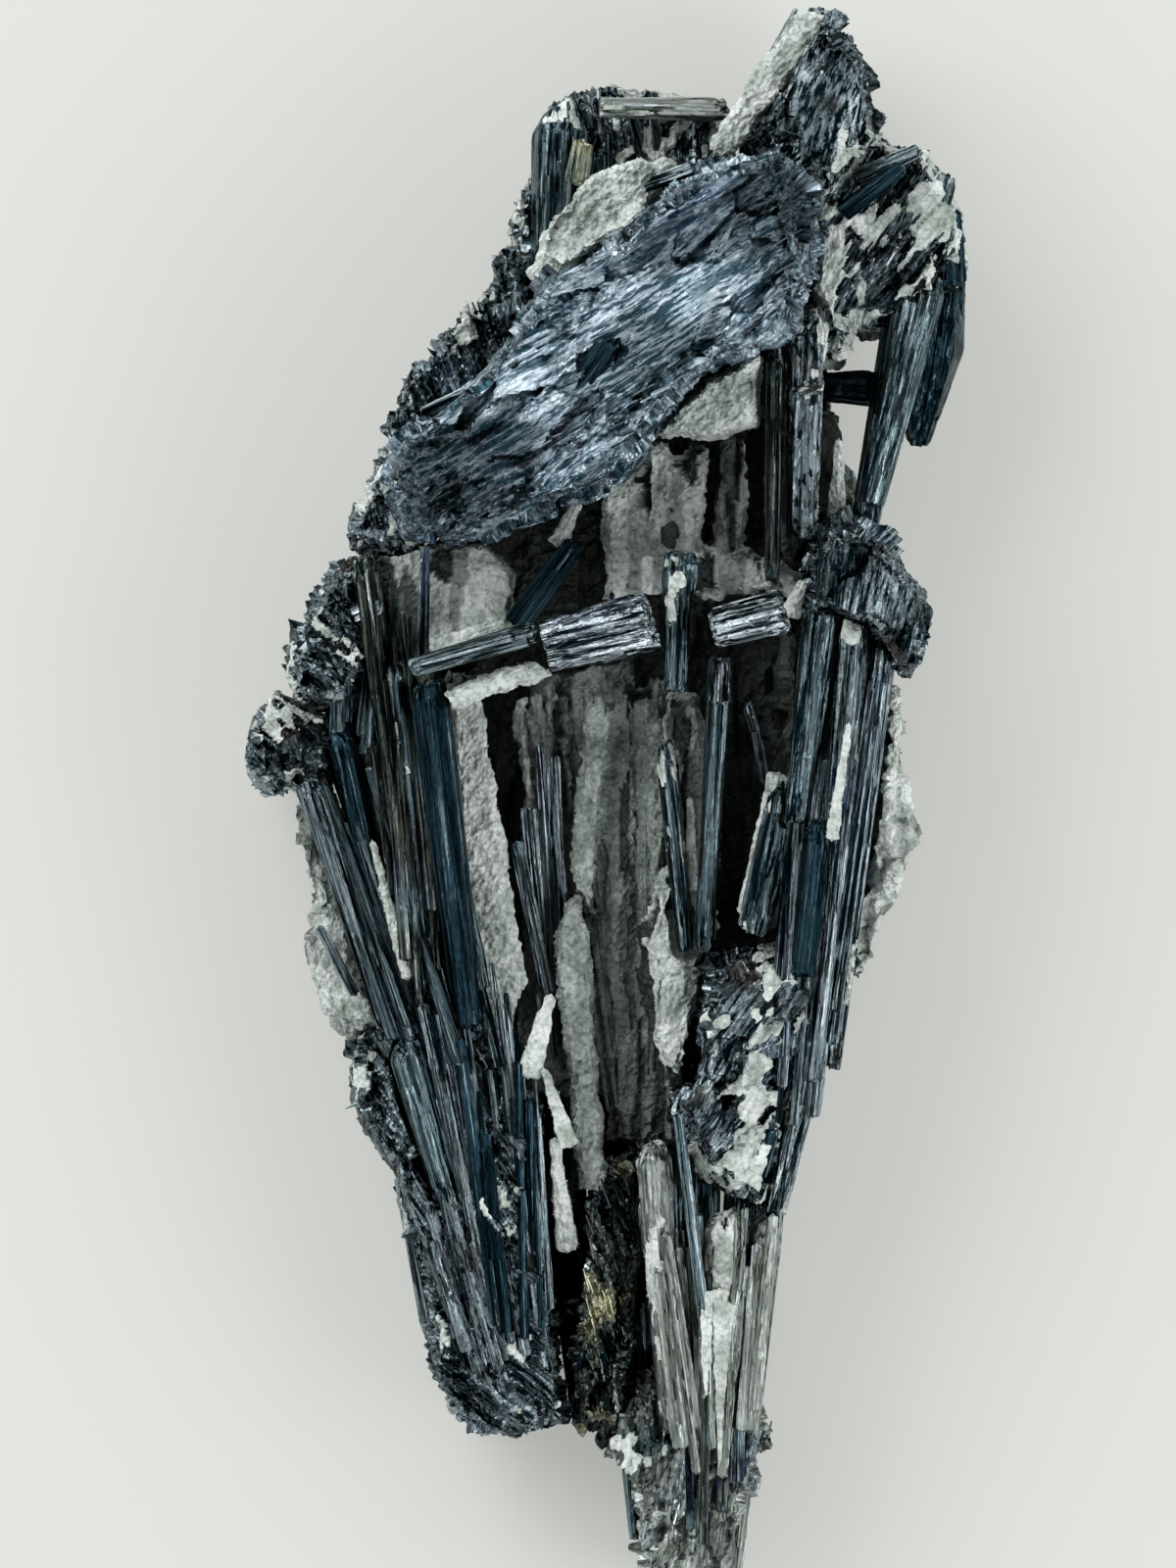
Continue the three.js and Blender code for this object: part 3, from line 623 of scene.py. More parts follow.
def solid_grid(node, settings):
    """A node's surface as a grid of points round and along it, with the point that each row
    looks out from, its two end points, its middle, its axes and its rows' tilts."""
    solid = merged_solid(node)
    tree = BVHTree.FromBMesh(solid)
    middle, axes = crystal_axes(solid)
    local = (np.array([vertex.co for vertex in solid.verts]) - middle) @ axes.T
    solid.free()
    half_width, half_depth = np.percentile(np.abs(local[:, :2]), 80, axis=0)
    low, high = local[:, 2].min(), local[:, 2].max()
    margin = min(max(half_width, half_depth), 0.35 * (high - low))
    spokes, tilts, stations = grid_directions(half_width, half_depth, margin, low, high, settings)
    reach = high - low
    points = []
    origins = []
    for tilt, station in zip(tilts, stations):
        origin = inside(tree, middle + axes[2] * station)
        ways = spokes * math.cos(tilt) + np.array((0, 0, math.sin(tilt)))
        points.append([shot(tree, origin, way, reach) for way in ways @ axes])
        origins.append(origin)
    poles = [
        shot(tree, inside(tree, middle + axes[2] * (end - way * margin)), axes[2] * way, reach)
        for end, way in ((low, -1), (high, 1))
    ]
    return np.array(points), np.array(origins)[:, None, :], poles, middle, axes, tilts


def beside(node, offset_mm):
    """A place at an offset from the middle of a node's box."""
    low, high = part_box(node)
    return (np.array(low) + np.array(high)) / 2 + np.array(offset_mm) * MM


# Depth of a small crystal, as a share of its width.
FLATNESS = 0.7


def bar_grid(root, tip, width_mm, settings, narrowing=0.3):
    """The same grid for a small six-sided crystal that narrows from its root to its tip."""
    middle = (root + tip) / 2
    axes = axes_from(unit(tip - root))
    half_length = np.linalg.norm(tip - root) / 2
    half_width = width_mm / 2 * MM
    half_depth = half_width * FLATNESS
    margin = half_width * 0.5
    spokes, tilts, stations = grid_directions(
        half_width, half_depth, margin, -half_length, half_length, settings
    )
    angle = np.arctan2(spokes[:, 1] / half_depth, spokes[:, 0] / half_width)
    hexagon = 1 / np.cos((angle + math.pi / 6) % (math.pi / 3) - math.pi / 6)
    ring = np.stack([half_width * np.cos(angle), half_depth * np.sin(angle)], axis=1) * hexagon[:, None]
    points = []
    origins = []
    for tilt, station in zip(tilts, stations):
        taper = 1 - narrowing * (station / half_length + 1) / 2
        place = station + math.copysign(margin, station) * abs(math.sin(tilt))
        local = np.column_stack([ring * taper * max(math.cos(tilt), 0.02), np.full(len(ring), place)])
        points.append(middle + local @ axes)
        origins.append(middle + axes[2] * station)
    poles = [middle - axes[2] * half_length, middle + axes[2] * half_length]
    return np.array(points), np.array(origins)[:, None, :], poles, middle, axes, tilts


# Grit on a crystal (mm): the size of its grains, and their height on a broken end, on a side and
# in a coat. The coat also has broader lumps, of this size and height (mm).
GRIT_SIZE = 0.7
END_GRIT = 0.35
SIDE_GRIT = 0.03
COAT_GRIT = 0.3
LUMP_SIZE = 1.7
LUMP_HEIGHT = 0.45


def striated(grid, settings, lath_mm, depth_mm, share, seed):
    """A crystal from a grid of points, with laths that stand proud of each other: its points,
    faces, grain, flow and coat."""
    points, origins, poles, middle, axes, tilts = grid
    rows, columns = points.shape[:2]
    dice = np.random.default_rng(seed)
    row_mm = settings.row_step / MM
    column_mm = settings.column_step / MM
    steps = lath_steps(dice, rows, columns, row_mm, lath_mm, column_mm, depth_mm) * MM
    flat = points.reshape(-1, 3)
    coat = np.ones((rows, columns))
    if share < 1:
        local = (flat - middle) @ axes.T / (1, 1, 2.5)
        coat = coat_mask(local, share, seed).reshape(rows, columns)
    numbers, _ = chips(flat / (GRIT_SIZE * MM), seed)
    grit = numbers[:, 0].reshape(rows, columns)
    on_end = (tilts != 0)[:, None]
    steps = np.where(on_end, steps * 0.5 + grit * END_GRIT * MM, steps + grit * SIDE_GRIT * MM)
    lumps = 0.5 + 0.5 * smooth_noise(flat / (LUMP_SIZE * MM), seed + 4).reshape(rows, columns)
    steps = steps * (1 - coat) + coat * (COAT_GRIT * grit + LUMP_HEIGHT * lumps) * MM
    inward = origins - points
    distance = np.linalg.norm(inward, axis=2, keepdims=True) + 1e-9
    points = points + inward / distance * np.minimum(steps[..., None], 0.45 * distance)
    corners = np.arange(rows * columns).reshape(rows, columns)
    right = np.roll(corners, -1, axis=1)
    faces = np.stack([corners[:-1], right[:-1], right[1:], corners[1:]], axis=-1).reshape(-1, 4).tolist()
    first, last = rows * columns, rows * columns + 1
    faces += [(first, b, a) for a, b in zip(corners[0].tolist(), right[0].tolist())]
    faces += [(last, a, b) for a, b in zip(corners[-1].tolist(), right[-1].tolist())]
    everything = np.concatenate([points.reshape(-1, 3), poles])
    grain = (everything - middle) @ axes.T / MM + dice.uniform(-90, 90, 3)
    flow = np.tile(axes[2], (len(everything), 1))
    coat = np.append(coat.ravel(), (coat[0].mean(), coat[-1].mean()))
    return everything, faces, grain, flow, coat


def crystal_mesh(name, crystals):
    """One mesh of one or more crystals."""
    points, faces, grain, flow, coat = [], [], [], [], []
    count = 0
    for crystal in crystals:
        points.append(crystal[0])
        faces += [[corner + count for corner in face] for face in crystal[1]]
        grain.append(crystal[2])
        flow.append(crystal[3])
        coat.append(crystal[4])
        count += len(crystal[0])
    mesh = bpy.data.meshes.new(name)
    mesh.from_pydata(np.clip(np.concatenate(points), CAD_LOW, CAD_HIGH).tolist(), [], faces)
    facing_out(mesh)
    store(mesh, "grain", "FLOAT_VECTOR", np.concatenate(grain))
    store(mesh, "flow", "FLOAT_VECTOR", np.concatenate(flow))
    store(mesh, "coat", "FLOAT", np.concatenate(coat))
    return mesh


def facing_out(mesh):
    """Turns every face outwards."""
    shell = bmesh.new()
    shell.from_mesh(mesh)
    bmesh.ops.recalc_face_normals(shell, faces=shell.faces)
    if shell.calc_volume(signed=True) < 0:
        bmesh.ops.reverse_faces(shell, faces=shell.faces)
    shell.to_mesh(mesh)
    shell.free()


# ---------------------------------------------------------------- masses and crusts


# Chips that stand proud of each other: their size across, through and along the grain, how far
# they differ in height, and how far their faces tilt (mm).
BLOCKS = ((4.2, 4.2, 9.0), 1.6, 3.2)
BROKEN_LATHS = ((1.3, 1.3, 6.5), 0.9, 1.0)
FLAKES = ((0.8, 0.8, 1.9), 0.4, 0.5)
QUARTZ_GRAINS = ((0.9, 0.9, 0.9), 0.6, 0.35)
# Places sink by this much before the chips raise them, so that the piece keeps its size (mm).
MASS_SUNK = 0.5
CRUST_SUNK = 0.25


def chipped(places, kind, seed):
    """Height (mm) of a surface that is broken into chips, and the chips' random numbers."""
    size, rise, tilt = kind
    numbers, offset = chips(places / size, seed)
    return rise * (numbers[:, 0] - 0.5) + tilt * ((numbers - 0.5) * offset).sum(axis=1), numbers


def patched(node, kind, points, axes, seed):
    """How far each point lies inside the node's patches of one kind, with ragged edges."""
    ragged = 0.3 * smooth_noise(points / (2.5 * MM), seed)
    most = np.zeros(len(points))
    for this_kind, offset, half_sizes in PATCHES.get(node, ()):
        if this_kind == kind:
            away = (points - beside(node, offset)) @ axes.T / MM / half_sizes
            most = np.maximum(most, np.clip((1.1 + ragged - np.linalg.norm(away, axis=1)) * 3, 0, 1))
    return most


def mass_mesh(node, step, lean, share, seed):
    """A lump of felted needles: blocks, laths and flakes that stand proud of each other."""
    mesh = remeshed(node, step)
    points, normals = mesh_points(mesh), mesh_normals(mesh)
    axes = lean_axes(node, lean)
    grain = points @ axes.T / MM
    plate = patched(node, "calm", points, axes, seed + 60)
    drift = np.stack([1.2 * smooth_noise(grain / 9, seed + axis) for axis in range(3)], axis=1)
    bent = grain + drift * (1 - plate)[:, None]
    blocks, _ = chipped(bent, BLOCKS, seed + 5)
    laths, _ = chipped(bent, BROKEN_LATHS, seed + 10)
    flakes, flake_numbers = chipped(bent, FLAKES, seed + 20)
    # Calm stretches have fewer laths and flakes, and a plate has almost none.
    calm = np.clip(0.4 + 1.6 * smooth_noise(grain / (7, 7, 16), seed + 50), 0, 1)
    height = blocks * (1 - 0.85 * plate) - MASS_SUNK
    height += (laths + flakes) * (1 - 0.65 * calm) * (1 - 0.9 * plate)
    # The coat fills the hollows and has soft lumps of its own.
    coat = coat_mask(points @ axes.T / (1, 1, 1.8), share, seed + 30)
    lumps = 0.4 * smooth_noise(grain / 1.5, seed + 40) + 0.25 * (flake_numbers[:, 1] - 0.5)
    height = height * (1 - coat) + (0.25 + 0.6 * height + lumps) * coat
    set_points(mesh, points + normals * height[:, None] * MM)
    store(mesh, "grain", "FLOAT_VECTOR", bent)
    store(mesh, "flow", "FLOAT_VECTOR", np.tile(axes[2], (len(points), 1)))
    store(mesh, "coat", "FLOAT", coat)
    store(mesh, "felt", "FLOAT", (1 - calm) * (1 - plate) * (1 - coat) * (normals[:, 2] > 0.5))
    store(mesh, "calm", "FLOAT", np.maximum(plate, 0.4 * calm))
    cloudy = np.clip(0.15 + 0.9 * smooth_noise(grain / (5, 5, 9), seed + 70), 0, 0.6)
    store(mesh, "soot", "FLOAT", np.maximum(cloudy, 0.7 * patched(node, "soot", points, axes, seed + 80)))
    return mesh


def crust_mesh(node, step, lump_mm, rib_mm, seed):
    """A sugary quartz crust with lumps, ragged edges and ribs over the thin crystals under it,
    with painted shade in the slits between the ribs.
    """
    mesh = remeshed(node, step)
    points, normals = mesh_points(mesh), mesh_normals(mesh)
    spots = points / MM
    drift = [0.9 * smooth_noise(spots / (3, 8, 3), seed + 6 + axis) for axis in range(3)]
    bent = spots + np.stack(drift, axis=1)
    grains, _ = chipped(spots, QUARTZ_GRAINS, seed)
    ribs = chips(bent / (2.1, 15, 5), seed + 3)[0][:, 0]
    height = lump_mm * smooth_noise(spots / 3.6, seed + 1)
    height += 0.45 * lump_mm * smooth_noise(spots / 1.3, seed + 2)
    height += grains + rib_mm * (ribs - 0.75) - CRUST_SUNK - 0.4 * lump_mm
    set_points(mesh, points + normals * height[:, None] * MM)
    store(mesh, "grain", "FLOAT_VECTOR", spots)
    store(mesh, "flow", "FLOAT_VECTOR", normals)
    store(mesh, "coat", "FLOAT", np.ones(len(points)))
    # Painted shade: how dark the slits between the ribs are painted.
    store(mesh, "slit_shade", "FLOAT", np.clip((0.55 - ribs) * 4 * min(rib_mm, 1), 0, 1))
    return mesh


# ---------------------------------------------------------------- nodes


def add_node(tree, kind, inputs=(), **settings):
    """Adds a node with its settings. An input is a value, or a socket to link from."""
    node = tree.nodes.new(kind)
    for key, value in settings.items():
        setattr(node, key, value)
    for key, value in dict(inputs).items():
        if isinstance(value, bpy.types.NodeSocket):
            tree.links.new(value, node.inputs[key])
        else:
            node.inputs[key].default_value = value
    return node


# The face attribute that tells the grown crystals from the surface under them.
MARK = "small crystal"


def growth_tree():
    """Grows small crystals on a surface: a Geometry Nodes tree with named inputs."""
    tree = bpy.data.node_groups.new("Crystal growth", "GeometryNodeTree")
    sockets = {"Surface": "Geometry", "Where": "String"}
    sockets.update(dict.fromkeys(("Density", "Length", "Width", "Tip", "Follow grain", "Tilt"), "Float"))
    sockets.update({"Sides": "Int", "Seed": "Int", "Mineral": "Material"})
    for name, kind in sockets.items():
        tree.interface.new_socket(name, in_out="INPUT", socket_type="NodeSocket" + kind)
    tree.interface.new_socket("Result", in_out="OUTPUT", socket_type="NodeSocketGeometry")
    given = add_node(tree, "NodeGroupInput").outputs
    seed = given["Seed"]
    share = add_node(tree, "GeometryNodeInputNamedAttribute", {"Name": given["Where"]}, data_type="FLOAT")
    density = add_node(
        tree, "ShaderNodeMath", {0: share.outputs[0], 1: given["Density"]}, operation="MULTIPLY"
    )
    spots = add_node(
        tree,
        "GeometryNodeDistributePointsOnFaces",
        {"Mesh": given["Surface"], "Density": density.outputs[0], "Seed": seed},
    )
    # Each crystal points along the grain or out of the surface, a little off true.
    flow = add_node(tree, "GeometryNodeInputNamedAttribute", {"Name": "flow"}, data_type="FLOAT_VECTOR")
    heading = add_node(
        tree,
        "ShaderNodeMix",
        {0: given["Follow grain"], 4: spots.outputs["Normal"], 5: flow.outputs[0]},
        data_type="VECTOR",
    )
    shake = add_node(
        tree,
        "FunctionNodeRandomValue",
        {0: (-1, -1, -1), 1: (1, 1, 1), "Seed": seed},
        data_type="FLOAT_VECTOR",
    )
    shaken = add_node(
        tree, "ShaderNodeVectorMath", {0: shake.outputs[0], 3: given["Tilt"]}, operation="SCALE"
    )
    direction = add_node(
        tree, "ShaderNodeVectorMath", {0: heading.outputs[1], 1: shaken.outputs[0]}, operation="ADD"
    )
    rotation = add_node(
        tree, "FunctionNodeAlignRotationToVector", {"Vector": direction.outputs[0]}, axis="Z"
    )
    sizes = {}
    for name, least in (("Width", 0.4), ("Length", 0.25)):
        chance = add_node(
            tree, "FunctionNodeRandomValue", {2: least, 3: 1.0, "Seed": seed}, data_type="FLOAT"
        )
        size = add_node(
            tree, "ShaderNodeMath", {0: chance.outputs[1], 1: given[name]}, operation="MULTIPLY"
        )
        sizes[name] = size.outputs[0]
    scale = add_node(
        tree, "ShaderNodeCombineXYZ", {0: sizes["Width"], 1: sizes["Width"], 2: sizes["Length"]}
    )
    cone = {"Side Segments": 1, "Fill Segments": 1, "Radius Bottom": 0.5, "Depth": 1.0}
    crystal = add_node(
        tree, "GeometryNodeMeshCone", {"Vertices": given["Sides"], "Radius Top": given["Tip"], **cone}
    )
    marked = add_node(
        tree,
        "GeometryNodeStoreNamedAttribute",
        {"Geometry": crystal.outputs["Mesh"], "Name": MARK, "Value": True},
        data_type="BOOLEAN",
        domain="FACE",
    )
    sunk = add_node(
        tree, "GeometryNodeTransform", {"Geometry": marked.outputs[0], "Translation": (0, 0, -0.4)}
    )
    copies = add_node(
        tree,
        "GeometryNodeInstanceOnPoints",
        {
            "Points": spots.outputs["Points"],
            "Instance": sunk.outputs[0],
            "Rotation": rotation.outputs[0],
            "Scale": scale.outputs[0],
        },
    )
    both = add_node(tree, "GeometryNodeJoinGeometry", {0: copies.outputs[0]})
    tree.links.new(given["Surface"], both.inputs[0])
    real = add_node(tree, "GeometryNodeRealizeInstances", {0: both.outputs[0]})
    # The surface keeps its own mineral: only the small crystals get theirs here.
    mark = add_node(tree, "GeometryNodeInputNamedAttribute", {"Name": MARK}, data_type="BOOLEAN")
    coloured = add_node(
        tree,
        "GeometryNodeSetMaterial",
        {"Geometry": real.outputs[0], "Selection": mark.outputs[0], "Material": given["Mineral"]},
    )
    add_node(tree, "NodeGroupOutput", {0: coloured.outputs[0]})
    return tree


def grown(surface, **inputs):
    """The surface with the growth tree's crystals on it, as a plain mesh."""
    tree = bpy.data.node_groups.get("Crystal growth") or growth_tree()
    carrier = bpy.data.objects.new("growing", surface)
    bpy.context.collection.objects.link(carrier)
    growth = carrier.modifiers.new("Crystal growth", "NODES")
    growth.node_group = tree
    sockets = {item.name: item.identifier for item in tree.interface.items_tree}
    for key, value in inputs.items():
        growth[sockets[key.replace("_", " ").capitalize()]] = value
    whole = plain_copy(carrier)
    bpy.data.objects.remove(carrier)
    # Without the mark, the next growth on this mesh leaves these crystals their mineral.
    if MARK in whole.attributes:
        whole.attributes.remove(whole.attributes[MARK])
    set_points(whole, mesh_points(whole))
    return whole


# ---------------------------------------------------------------- minerals


def new_material(name):
    material = bpy.data.materials.new(name)
    material.use_nodes = True
    material.node_tree.nodes.clear()
    return material


def layered(tree, colour, layers):
    """Lays colours over each other. A layer is a pattern, the values at which it starts and is
    full, how much it then covers, and its colour."""
    colour = (*colour, 1)
    for pattern, start, full, most, tone in layers:
        cover = add_node(
            tree,
            "ShaderNodeMapRange",
            {"Value": pattern, "From Min": start, "From Max": full, "To Max": most},
        )
        mix = add_node(
            tree, "ShaderNodeMix", {0: cover.outputs[0], 6: colour, 7: (*tone, 1)}, data_type="RGBA"
        )
        colour = mix.outputs[2]
    return colour


# Painted shade: quartz darkens from one height over the floor down to the other, as the shade deep in the
# hollows.
SHADE_START_HEIGHT = 25 * MM
SHADE_FULL_HEIGHT = 12 * MM
QUARTZ_IOR = 1.544
# Scales of patterns on Object coordinates are in bumps to the metre: 200 is one every 5 mm.


def quartz_shader(tree, settings, light, shade):
    """Sugary quartz: rough white grains, grey-green stains, and painted shade deep down, in the slits
    between ribs and between the grains.
    """
    place = add_node(tree, "ShaderNodeTexCoord").outputs["Object"]
    stain = add_node(
        tree, "ShaderNodeTexNoise", {"Vector": place, "Scale": 190, "Detail": 5, "Roughness": 0.65}
    )
    height = add_node(tree, "ShaderNodeSeparateXYZ", {0: place}).outputs[2]
    # Painted shade: the lower the quartz lies, the darker it is painted.
    depth = add_node(
        tree,
        "ShaderNodeMapRange",
        {"Value": height, "From Min": SHADE_START_HEIGHT, "From Max": SHADE_FULL_HEIGHT, "To Max": 0.9},
    )
    # Painted shade in the slits between ribs, read from the crust.
    slit_shade = add_node(tree, "ShaderNodeAttribute", attribute_name="slit_shade").outputs["Fac"]
    # Painted shade: the darker of the depth shade and the slit shade.
    hidden = add_node(tree, "ShaderNodeMath", {0: depth.outputs[0], 1: slit_shade}, operation="MAXIMUM")
    # Grains 0.3 mm across are too fine to show, so they are drawn at 0.6 mm.
    grains = add_node(tree, "ShaderNodeTexVoronoi", {"Vector": place, "Scale": 1600})
    grit = add_node(
        tree, "ShaderNodeTexNoise", {"Vector": place, "Scale": 900, "Detail": 4, "Roughness": 0.65}
    )
    # Darker speckles towards the grains' edges: partly random speckle, partly painted shade between the
    # grains.
    rough = add_node(
        tree, "ShaderNodeMath", {0: grains.outputs["Distance"], 1: grit.outputs[0]}, operation="ADD"
    )
    colour = layered(
        tree,
        light,
        (
            (stain.outputs[0], 0.42, 0.68, 1.0, shade),
            (hidden.outputs[0], 0.0, 1.0, 1.0, settings.deep),
            (rough.outputs[0], 1.0, 1.45, 0.4, settings.deep),
        ),
    )
    bump = add_node(
        tree, "ShaderNodeBump", {"Height": rough.outputs[0], "Strength": 0.9, "Distance": 0.3 * MM}
    )
    gloss = add_node(
        tree, "ShaderNodeMapRange", {"Value": grit.outputs[0], "To Min": 0.35, "To Max": 0.75}
    )
    finish = {"Base Color": colour, "Roughness": gloss.outputs[0], "Normal": bump.outputs[0]}
    return add_node(tree, "ShaderNodeBsdfPrincipled", {"IOR": QUARTZ_IOR, **finish})


def flaked(tree, grain, scale):
    """Flakes about 1 / scale mm across: each one's random colour and its tilted face."""
    spread = add_node(tree, "ShaderNodeMapping", {"Vector": grain, "Scale": scale})
    cells = add_node(tree, "ShaderNodeTexVoronoi", {"Vector": spread.outputs[0], "Scale": 1.0})
    away = add_node(
        tree,
        "ShaderNodeVectorMath",
        {0: spread.outputs[0], 1: cells.outputs["Position"]},
        operation="SUBTRACT",
    )
    tilt = add_node(
        tree, "ShaderNodeVectorMath", {0: cells.outputs["Color"], 1: (0.5, 0.5, 0.5)}, operation="SUBTRACT"
    )
    face = add_node(
        tree, "ShaderNodeVectorMath", {0: away.outputs[0], 1: tilt.outputs[0]}, operation="DOT_PRODUCT"
    )
    shade = add_node(tree, "ShaderNodeSeparateXYZ", {0: cells.outputs["Color"]})
    return shade.outputs[0], face.outputs["Value"]


def stibnite_shader(tree, settings, look):
    """Grey metallic antimony sulphide: lengthwise striations, glinting flakes, thin painted highlight
    lines and tarnish.
    """
    grain = add_node(tree, "ShaderNodeAttribute", attribute_name="grain").outputs["Vector"]
    place = add_node(tree, "ShaderNodeTexCoord").outputs["Object"]
    calm = add_node(tree, "ShaderNodeAttribute", attribute_name="calm").outputs["Fac"]
    soot = add_node(tree, "ShaderNodeAttribute", attribute_name="soot").outputs["Fac"]
    # Flakes hardly show on the smooth plates.
    rest = add_node(tree, "ShaderNodeMapRange", {"Value": calm, "To Min": 1.0, "To Max": 0.12})
    flaky, glitter = (
        add_node(tree, "ShaderNodeMath", {0: rest.outputs[0], 1: most}, operation="MULTIPLY").outputs[0]
        for most in (look["flaky"], look["glitter"])
    )
    # Striations are 0.6 mm apart and 30 mm long.
    stretched = add_node(tree, "ShaderNodeMapping", {"Vector": grain, "Scale": (1.6, 1.6, 0.03)})
    striae = add_node(
        tree,
        "ShaderNodeTexNoise",
        {"Vector": stretched.outputs[0], "Scale": 1.0, "Detail": 4, "Roughness": 0.75},
    ).outputs[0]
    streaks = add_node(tree, "ShaderNodeMapRange", {"Value": striae, "From Min": 0.43, "From Max": 0.58})
    broad_shade, broad_face = flaked(tree, grain, look["broad"])
    fine_shade, fine_face = flaked(tree, grain, look["fine"])
    mottle = add_node(tree, "ShaderNodeMix", {0: 0.5, 2: broad_shade, 3: fine_shade}, data_type="FLOAT")
    mixed = add_node(
        tree, "ShaderNodeMix", {0: flaky, 2: streaks.outputs[0], 3: mottle.outputs[0]}, data_type="FLOAT"
    )
    clouds = add_node(tree, "ShaderNodeTexNoise", {"Vector": place, "Scale": 120, "Detail": 5})
    film = add_node(tree, "ShaderNodeTexNoise", {"Vector": place, "Scale": 65, "Detail": 2})
    spread = 0.4 * look["tint_share"]
    colour = layered(
        tree,
        look["groove"],
        (
            (mixed.outputs[0], 0.25, 0.72, 1.0, look["face"]),
            # Painted highlight: thin silver lines along the striae.
            (striae, 0.6, 0.63, look["glint"], settings.painted_highlight),
            (clouds.outputs[0], 0.72 - spread, 0.85 - spread, 1.0, look["tint"]),
            (film.outputs[0], 0.6, 0.8, 0.4, settings.violet),
            (soot, 0.0, 1.0, 1.0, settings.black),
        ),
    )
    bump = None
    for height, strength, distance in (
        (broad_face, glitter, 1.2),
        (fine_face, glitter, 0.7),
        (striae, 0.8, 0.4),
    ):
        inputs = {"Height": height, "Strength": strength, "Distance": distance * MM}
        if bump:
            inputs["Normal"] = bump.outputs[0]
        bump = add_node(tree, "ShaderNodeBump", inputs)
    worn = add_node(
        tree,
        "ShaderNodeMapRange",
        {"Value": fine_shade, "To Min": look["gloss"] - 0.06, "To Max": look["gloss"] + 0.16},
    )
    finish = {"Base Color": colour, "Roughness": worn.outputs[0], "Normal": bump.outputs[0]}
    return add_node(tree, "ShaderNodeBsdfPrincipled", {"Metallic": 1.0, **finish})


def stibnite_material(name, settings, quartz, look):
    """Stibnite with quartz where the coat attribute says so."""
    material = new_material(name)
    tree = material.node_tree
    bare = stibnite_shader(tree, settings, look)
    crust = quartz_shader(tree, quartz, quartz.light, quartz.shade)
    coat = add_node(tree, "ShaderNodeAttribute", attribute_name="coat").outputs["Fac"]
    place = add_node(tree, "ShaderNodeTexCoord").outputs["Object"]
    ragged = add_node(tree, "ShaderNodeTexNoise", {"Vector": place, "Scale": 900, "Detail": 4})
    edge = add_node(tree, "ShaderNodeMath", {0: coat, 1: ragged.outputs[0]}, operation="ADD")
    mask = add_node(
        tree, "ShaderNodeMapRange", {"Value": edge.outputs[0], "From Min": 0.95, "From Max": 1.05}
    )
    mixed = add_node(
        tree, "ShaderNodeMixShader", {0: mask.outputs[0], 1: bare.outputs[0], 2: crust.outputs[0]}
    )
    add_node(tree, "ShaderNodeOutputMaterial", {0: mixed.outputs[0]})
    return material


def quartz_material(name, settings, light, shade):
    """Drusy quartz: a crust of sugar-sized crystals, matt with pin-point glints."""
    material = new_material(name)
    tree = material.node_tree
    shader = quartz_shader(tree, settings, light, shade)
    add_node(tree, "ShaderNodeOutputMaterial", {0: shader.outputs[0]})
    return material


